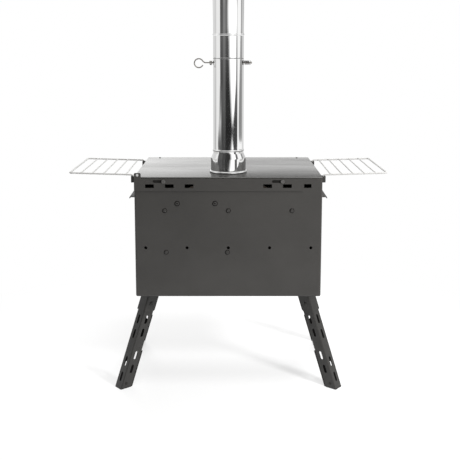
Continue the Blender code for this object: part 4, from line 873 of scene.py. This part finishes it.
def hexagon_head(name, place, radius, height):
    """Button head with a hexagon socket, over a plain one."""
    work = bmesh.new()
    steps, sides = 36, 6
    socket = radius * 0.42

    def ring(size, z, hexagonal=False):
        """Round or six-sided row of points."""
        verts = []
        for step in range(steps):
            angle = 2 * pi * step / steps
            reach = size
            if hexagonal:
                within = (angle % (2 * pi / sides)) - pi / sides
                reach = size * cos(pi / sides) / cos(within)
            verts.append(work.verts.new((reach * cos(angle), reach * sin(angle), z)))
        return verts

    rings = [ring(radius, 0.0), ring(radius, height * 0.35), ring(radius * 0.9, height * 0.75),
             ring(radius * 0.66, height), ring(socket * 1.08, height, True),
             ring(socket, height * 0.94, True), ring(socket, height * 0.25, True)]
    for below, above in zip(rings, rings[1:]):
        for step in range(steps):
            following = (step + 1) % steps
            work.faces.new((below[step], below[following], above[following], above[step]))
    work.faces.new(rings[-1])
    work.faces.new(rings[0][::-1])
    piece = as_piece(name, work, SCREW_PAINT, 40, standing(place, REARWARD))
    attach(piece, "stove")


def dark_ring(name, place, inner, outer):
    """Thin dark ring of painted shade round a fastener's head or in its socket."""
    flat = [(outer, 0.00012), (outer, 0.0), (inner, 0.0), (inner, 0.00012)]
    ring = lathe(name, flat, place, REARWARD, RING_BLACK, 40)
    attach(ring, "stove")


def guide_shades():
    """Painted shade: black behind each of the slider's two slots, as far as the slots travel."""
    for side, x in zip(("left", "right"), GUIDES):
        high = x + GUIDE_SLOT_HALF + SLIDER_TRAVEL
        low = x + GUIDE_SLOT_HALF - GUIDE_SLOT_LENGTH
        work = bmesh.new()
        for y in (RING_Y, SHADE_Y):
            for z in (GUIDE_Z - GUIDE_SLOT_HALF, GUIDE_Z + GUIDE_SLOT_HALF):
                for edge in (low, high):
                    work.verts.new((edge, y, z))
        work.verts.ensure_lookup_table()
        corners = work.verts
        for face in ((0, 1, 3, 2), (4, 5, 7, 6), (0, 1, 5, 4), (2, 3, 7, 6), (0, 2, 6, 4),
                     (1, 3, 7, 5)):
            work.faces.new([corners[index] for index in face])
        shade_piece = as_piece(f"guide_shade_{side}", work, SHADE_BLACK)
        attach(shade_piece, "stove")


def rear_fasteners():
    """Socket screws, and rivets with a dished collar round a cupped centre."""
    for node, x in REAR_SCREWS:
        dress(node, BODY_PAINT, 0)
        hexagon_head(node + "_head", (x, HEAD_Y, SCREW_Z), radius=0.0046, height=0.0023)
        # Ring of painted shade round the head, and a disc of painted shade at the bottom of its
        # socket
        dark_ring(node + "_ring", (x, RING_Y, SCREW_Z), inner=0.0040, outer=0.0063)
        dark_ring(node + "_socket", (x, SOCKET_Y, SCREW_Z), inner=0.0001, outer=0.0018)
    profile = [(0.0, 0.0009), (0.0012, 0.0010), (0.0017, 0.0022), (0.0024, 0.0025),
               (0.0037, 0.0018), (0.0046, 0.0004), (0.0047, 0.0)]
    for node, x, z in REAR_RIVETS:
        dress(node, BODY_PAINT, 0)
        head = lathe(node + "_head", fillet(profile, 0.0004, 3) + [(0, 0.0)],
                     (x, HEAD_Y, z), REARWARD, SCREW_PAINT, 32, 60)
        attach(head, "stove")
        # Ring of painted shade round the rivet's head
        dark_ring(node + "_ring", (x, RING_Y, z), inner=0.0040, outer=0.0057)


# Studio

def by_bounce(tree, later):
    """Value of 1 at the first reflection and a lower one at the next ones."""
    path = tree.nodes.new("ShaderNodeLightPath")
    return remap(tree, path.outputs["Glossy Depth"], (1, 2), (1.0, later))


def studio_material(name):
    """Material with an empty node tree, whose glow is not sampled as a lamp."""
    material = bpy.data.materials.new(name)
    material.use_nodes = True
    material.node_tree.nodes.clear()
    material.cycles.emission_sampling = "NONE"
    return material


def card_material():
    """Glow and fading borders of the reflected strips, from values kept in their meshes."""
    material = studio_material("studio_card")
    tree = material.node_tree
    clear = tree.nodes.new("ShaderNodeBsdfTransparent")
    shine = tree.nodes.new("ShaderNodeEmission")
    glow = calculate(tree, "MULTIPLY", stored(tree, "glow"), by_bounce(tree, LATER_CARDS))
    tree.links.new(glow, shine.inputs["Strength"])
    end_in_mix(tree, "ShaderNodeOutputMaterial", stored(tree, "cover"), clear, shine)
    return material


def reflector(name, rows, soft):
    """Upright strip seen only in polished metal.

    Each row is a height, the first and last angle there and the glow. Angles are in
    degrees round the flue from -Y towards +X. The borders fade over the two soft angles.
    """
    distance = CARD_DISTANCE - CARD_STEP * len(CARDS)
    steps = CARD_COLUMNS
    work = bmesh.new()
    glow = work.verts.layers.float.new("glow")
    cover = work.verts.layers.float.new("cover")
    rings = []
    for height, first, last, strength in rows:
        inner, outer = first + soft[0] / 2, last - soft[1] / 2
        angles = [inner + (outer - inner) * step / steps for step in range(steps + 1)]
        ring = []
        for angle, covered in ([(first - soft[0] / 2, 0)] + [(angle, 1) for angle in angles]
                               + [(last + soft[1] / 2, 0)]):
            turn = radians(angle)
            vert = work.verts.new((distance * sin(turn), FLUE.y - distance * cos(turn), height))
            vert[glow] = strength
            vert[cover] = covered
            ring.append(vert)
        rings.append(ring)
    skip_first, skip_last = int(not soft[0]), int(not soft[1])
    for lower, upper in zip(rings, rings[1:]):
        for index in range(skip_first, steps + 2 - skip_last):
            work.faces.new((lower[index], lower[index + 1], upper[index + 1], upper[index]))
    card = as_piece(name, work, CARD)
    for kind in ("camera", "diffuse", "shadow", "transmission", "volume_scatter"):
        setattr(card, "visible_" + kind, False)
    CARDS.append(card)


def reflectors():
    """Strips that the polished pipe shows as its upright bands, each over the ones before.

    The lowest rows are what the bell shows, and the highest what its cone and beads show.
    """
    reflector("card_window", [(0.10, 8, 62, 1.3), (1.60, -4, 66, 1.3), (5.0, -4, 80, 1.3)], (16, 8))
    reflector("card_back_left", [
        (0.0, -180, -158, 1.00), (0.98, -180, -158, 1.18), (1.12, -180, -158, 0.55),
        (5.0, -180, -158, 0.55)
    ], (0, 10))
    reflector("card_back_far_left", [
        (0.0, -172, -158, 1.20), (0.98, -172, -158, 1.50), (1.12, -172, -158, 0.75),
        (5.0, -172, -158, 0.75)
    ], (10, 10))
    reflector("card_back_right", [
        (0.0, 158, 180, 0.90), (0.96, 158, 180, 0.98), (1.06, 158, 180, 0.04),
        (5.0, 158, 180, 0.04)
    ], (10, 0))
    reflector("card_left_back", [(0.0, -162, -125, 0.72), (3.2, -162, -125, 0.78)], (10, 12))
    reflector("card_left_edge", [
        (0.26, -125, -101, 0.50), (0.55, -125, -98, 0.58), (0.80, -125, -97, 0.65),
        (1.6, -125, -97, 0.70)
    ], (10, 8))
    reflector("card_left_white", [(0.0, -98, -54, 0.87), (5.0, -98, -54, 0.87)], (6, 0))
    reflector("card_right_back", [
        (0.0, 124, 162, 0.76), (0.60, 124, 162, 0.66), (0.94, 124, 162, 0.60),
        (1.6, 124, 162, 0.42)
    ], (4, 10))
    reflector("card_right_line", [
        (0.32, 92, 122, 0.50), (0.345, 84, 122, 0.29), (0.435, 83, 122, 0.27),
        (0.60, 88, 122, 0.27), (0.80, 97, 122, 0.31), (0.90, 99, 122, 0.33),
        (0.94, 106, 122, 0.36), (1.6, 107, 122, 0.18)
    ], (6, 5))
    reflector("card_right_dark", [
        (0.10, 42, 61, 0.12), (0.235, 42, 59, 0.11), (0.28, 40, 70, 0.075), (0.31, 34, 71, 0.06),
        (0.345, 31, 71, 0.055), (0.39, 25, 71, 0.055), (0.435, 36, 71, 0.055),
        (0.49, 44.5, 71, 0.10), (0.55, 49, 71, 0.12), (0.60, 54, 71, 0.15), (0.67, 58, 71, 0.28),
        (0.77, 58, 72, 0.42), (0.90, 58, 72, 0.50), (0.94, 63, 72, 0.75), (1.06, 65, 72, 0.75),
        (1.12, 62, 72, 0.42), (1.60, 62, 72, 0.40), (1.9, 57, 73, 0.13), (5.0, 57, 73, 0.13)
    ], (5, 4))
    reflector("card_left_dark", [
        (0.10, -74, -30, 0.085), (0.235, -74, -30, 0.080), (0.28, -76, -30, 0.072),
        (0.345, -68, -30, 0.052), (0.39, -62, -30, 0.072), (0.60, -62, -30, 0.105),
        (0.67, -62, -30, 0.070), (0.80, -62.5, -30, 0.088), (0.94, -62.5, -30, 0.115),
        (1.04, -62.5, -30, 0.095), (1.60, -62.5, -30, 0.080), (1.9, -87, -30, 0.095),
        (5.0, -87, -30, 0.095)
    ], (4, 0))
    reflector("card_left_shoulder", [
        (0.27, -80, -50, 0.100), (0.31, -84, -50, 0.120), (0.345, -82, -52, 0.190),
        (0.39, -78, -54, 0.400), (0.435, -73, -53, 0.500), (0.49, -69, -52, 0.310),
        (0.55, -67, -53, 0.190), (0.64, -64, -57, 0.130)
    ], (8, 6))
    reflector("card_streak", [
        (0.10, -39, -12, 0.045), (0.235, -39, -12, 0.055), (0.28, -39, -12, 0.060),
        (0.39, -39, -12, 0.078), (0.49, -39, -12, 0.105), (0.67, -39, -12, 0.130),
        (0.80, -39, -12, 0.160), (0.90, -39, -12, 0.185), (0.95, -39, -12, 0.245),
        (1.04, -39, -12, 0.220), (1.12, -39, -12, 0.280), (1.60, -39, -12, 0.280),
        (1.9, -44, -12, 0.060), (5.0, -44, -12, 0.060)
    ], (7, 0))
    reflector("card_middle", [
        (0.10, -20, 1, 0.030), (0.15, -20, 3, 0.033), (0.195, -20, 11, 0.030),
        (0.235, -20, 16, 0.030), (0.28, -20, 24, 0.030), (0.31, -20, 25, 0.026),
        (0.345, -20, 30, 0.022), (0.37, -20, 33, 0.020), (0.39, -20, 34, 0.018),
        (0.435, -20, 29.5, 0.020), (0.49, -20, 24, 0.028), (0.60, -20, 18, 0.028),
        (0.67, -20, 13.5, 0.038), (0.80, -20, 9, 0.072), (0.90, -20, 8, 0.085),
        (0.94, -20, -2, 0.150), (1.06, -20, -3, 0.140), (1.12, -20, -1, 0.105),
        (1.60, -20, -1, 0.105), (1.9, -20, 22, 0.034), (5.0, -20, 22, 0.034)
    ], (8, 18))


def is_seen(tree):
    """Value that is 1 for camera, glossy and transmission rays."""
    path = tree.nodes.new("ShaderNodeLightPath").outputs
    first = calculate(tree, "MAXIMUM", path["Is Camera Ray"], path["Is Glossy Ray"])
    return calculate(tree, "MAXIMUM", first, path["Is Transmission Ray"])


def world():
    """Soft sky that lights the stove, and a white backdrop for the rays that see it."""
    sky = bpy.data.worlds.new("studio")
    bpy.context.scene.world = sky
    sky.use_nodes = True
    tree = sky.node_tree
    tree.nodes.clear()
    ambient = tree.nodes.new("ShaderNodeBackground")
    ambient.inputs["Color"].default_value = SKY_WHITE
    ambient.inputs["Strength"].default_value = AMBIENT
    backdrop = tree.nodes.new("ShaderNodeBackground")
    backdrop.inputs["Color"].default_value = (1, 1, 1, 1)
    tree.links.new(by_bounce(tree, LATER_BACKDROP), backdrop.inputs["Strength"])
    end_in_mix(tree, "ShaderNodeOutputWorld", is_seen(tree), ambient, backdrop)


def studio_floor():
    """Pale floor that keeps the stove's shadow and fades into the white backdrop."""
    work = bmesh.new()
    bmesh.ops.create_circle(work, cap_ends=True, segments=64, radius=FLOOR_RADIUS)
    material = studio_material("studio_floor")
    tree = material.node_tree
    nodes, links = tree.nodes, tree.links
    seen = is_seen(tree)
    place = nodes.new("ShaderNodeTexCoord")
    reach = nodes.new("ShaderNodeVectorMath")
    reach.operation = "LENGTH"
    links.new(place.outputs["Object"], reach.inputs[0])
    fade = remap(tree, reach.outputs["Value"], FLOOR_FADE, (0, 1), "SMOOTHSTEP")
    diffuse = nodes.new("ShaderNodeBsdfDiffuse")
    pale = blended(tree, seen, (FLOOR_PALE,) * 3, (FLOOR_SEEN,) * 3)
    links.new(pale, diffuse.inputs["Color"])
    lift = nodes.new("ShaderNodeEmission")
    links.new(calculate(tree, "MULTIPLY", seen, FLOOR_LIFT), lift.inputs["Strength"])
    lifted = nodes.new("ShaderNodeAddShader")
    links.new(diffuse.outputs[0], lifted.inputs[0])
    links.new(lift.outputs[0], lifted.inputs[1])
    white = nodes.new("ShaderNodeEmission")
    links.new(seen, white.inputs["Strength"])
    end_in_mix(tree, "ShaderNodeOutputMaterial", fade, lifted, white)
    floor = as_piece("studio_floor", work, material)
    floor.location.z = -FLOOR_DROP


def lamp(name, place, target, size, power):
    """Round white lamp that shows neither in the picture nor in reflections."""
    data = bpy.data.lights.new(name, "AREA")
    data.shape = "DISK"
    data.size = size
    data.energy = power
    item = bpy.data.objects.new(name, data)
    bpy.context.scene.collection.objects.link(item)
    item.location = place
    item.rotation_euler = (Vector(target) - Vector(place)).to_track_quat("-Z", "Y").to_euler()
    item.visible_camera = False
    item.visible_glossy = False


def lamps():
    """Soft light from above, a small hard one at the side and a wide one from behind."""
    lamp("top", (0.35, -0.85, 2.8), (0, 0, 0.3), size=1.0, power=30)
    lamp("side", (1.10, -1.10, 1.10), (0.1, 0, 0.3), size=0.30, power=25)
    lamp("back", (0.2, 2.1, 2.6), (0, 0, 0.5), size=1.8, power=78)


def camera():
    """The camera that fits the photograph."""
    data = bpy.data.cameras.new("camera")
    data.lens = CAMERA_LENS
    data.sensor_width = CAMERA_SENSOR
    data.shift_x, data.shift_y = CAMERA_SHIFT
    item = bpy.data.objects.new("camera", data)
    bpy.context.scene.collection.objects.link(item)
    item.location = CAMERA_PLACE
    item.rotation_euler = (radians(90 - CAMERA_PITCH), 0, 0)
    bpy.context.scene.camera = item


# Finishing

def dress_body():
    """Give every node that keeps its shape its finish."""
    for name in ("firebox_wrap", "rear_panel", "front_panel", "side_ledge_left",
                 "side_ledge_right", "rear_air_slider", "front_air_slider", "door_frame",
                 "hinge_lug_upper", "hinge_lug_lower"):
        dress(name, BODY_PAINT)
    dress("top_plate", TOP_STEEL, 0.0005)
    dress("rear_liner", SOOTED)
    dress("grate", IRON_LOOK)
    dress("damper_plate", IRON_LOOK)
    dress("flue_ring", TOP_STEEL)
    dress("door_glass", GLASS, 0)
    for name in ("glass_retainer", "hinge_pin", "latch_lever", "latch_cam"):
        dress(name, ZINC_LOOK, 0.0002)
    dress("latch_grip", GRIP_LOOK, 0)
    for side in ("left", "right"):
        for screw in ("rear_guide_screw_", "front_guide_screw_", "top_screw_"):
            dress(screw + side, DARK_ZINC, 0)
        for place in ("near", "far"):
            dress(f"rack_saddle_{place}_{side}", BLACK_LOOK)
        for end in ("rear", "front"):
            corner = Corner(-1 if side == "left" else 1, -1 if end == "rear" else 1)
            inside = inside_group(f"inside_{end}_{side}", corner)
            nested = nested_group(f"nested_{end}_{side}", corner)
            dress(f"leg_{end}_{side}", LEG_LOOK, 0.0005, [inside])
            dress(f"leg_bracket_{end}_{side}", LEG_LOOK, 0.0005, [inside])
            dress(f"foot_{end}_{side}", FOOT_LOOK, 0.0003, [nested, inside])


def set_view():
    """Show colours as they are."""
    bpy.context.scene.view_settings.view_transform = "Standard"


for leftover in list(bpy.data.objects):
    bpy.data.objects.remove(leftover, do_unlink=True)
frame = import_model()
NODES = frame["nodes"]

BODY_PAINT = painted("body_paint_look", BODY_GREY, 0.38, 0.52)
SCREW_PAINT = painted("screw_paint_look", shade(BODY_GREY, 0.8), 0.30, 0.42)
BLACK_LOOK = painted("black_paint_look", BLACK_PAINT, 0.38, 0.50)
LEG_LOOK = painted("leg_paint_look", shade(BODY_GREY, 0.64), 0.42, 0.58)
SOOTED = painted("sooted_steel_look", SOOT, 0.75, 0.90)
TOP_STEEL = rolled_steel("top_steel_look", TOP_GREY)
PIPE_STEEL = polished("flue_stainless_look", STAINLESS)
GROOVE_STEEL = polished("flue_groove_shade_look", GROOVE_GREY, 0.10, 0.20)
SPRING_STEEL = bare_metal("spring_look", SPRING_GREY, 0.08, 0.18)
WELD_STEEL = bare_metal("weld_look", WELD_GREY, 0.30, 0.45)
RING_BLACK = shadowed("ring_shade_look", shade(GAP_BLACK, 1.6))
SHADE_BLACK = shadowed("slot_shade_look", SLOT_BLACK)
FOOT_LOOK = nested_paint("foot_paint_look", shade(BODY_GREY, 0.85))
INSIDE_BLACK = shadowed("angle_inside_shade_look", GAP_BLACK)
SEAM_STEEL = bare_metal("flue_seam_look", SEAM_GREY, 0.25, 0.38)
DAMPER_STEEL = bare_metal("damper_wire_look", DAMPER_GREY, 0.22, 0.36)
RACK_STEEL = bare_metal("rack_wire_look", WIRE_STEEL, 0.50, 0.65, vary=0.06, metallic=0.40)
ZINC_LOOK = bare_metal("zinc_look", ZINC, 0.28, 0.42)
DARK_ZINC = bare_metal("dark_zinc_look", DULL_ZINC, 0.30, 0.42)
IRON_LOOK = cast("cast_iron_look", IRON)
GRIP_LOOK = painted("grip_look", GRIP, 0.38, 0.50)
GLASS = stove_glass("glass_look")
CARD = card_material()
CARDS = []
ROUNDING = rounding_group()

dress_body()
flue_lower()
flue_upper()
damper()
rack(-1)
rack(1)
rear_fasteners()
guide_shades()
world()
studio_floor()
reflectors()
lamps()
camera()
set_view()
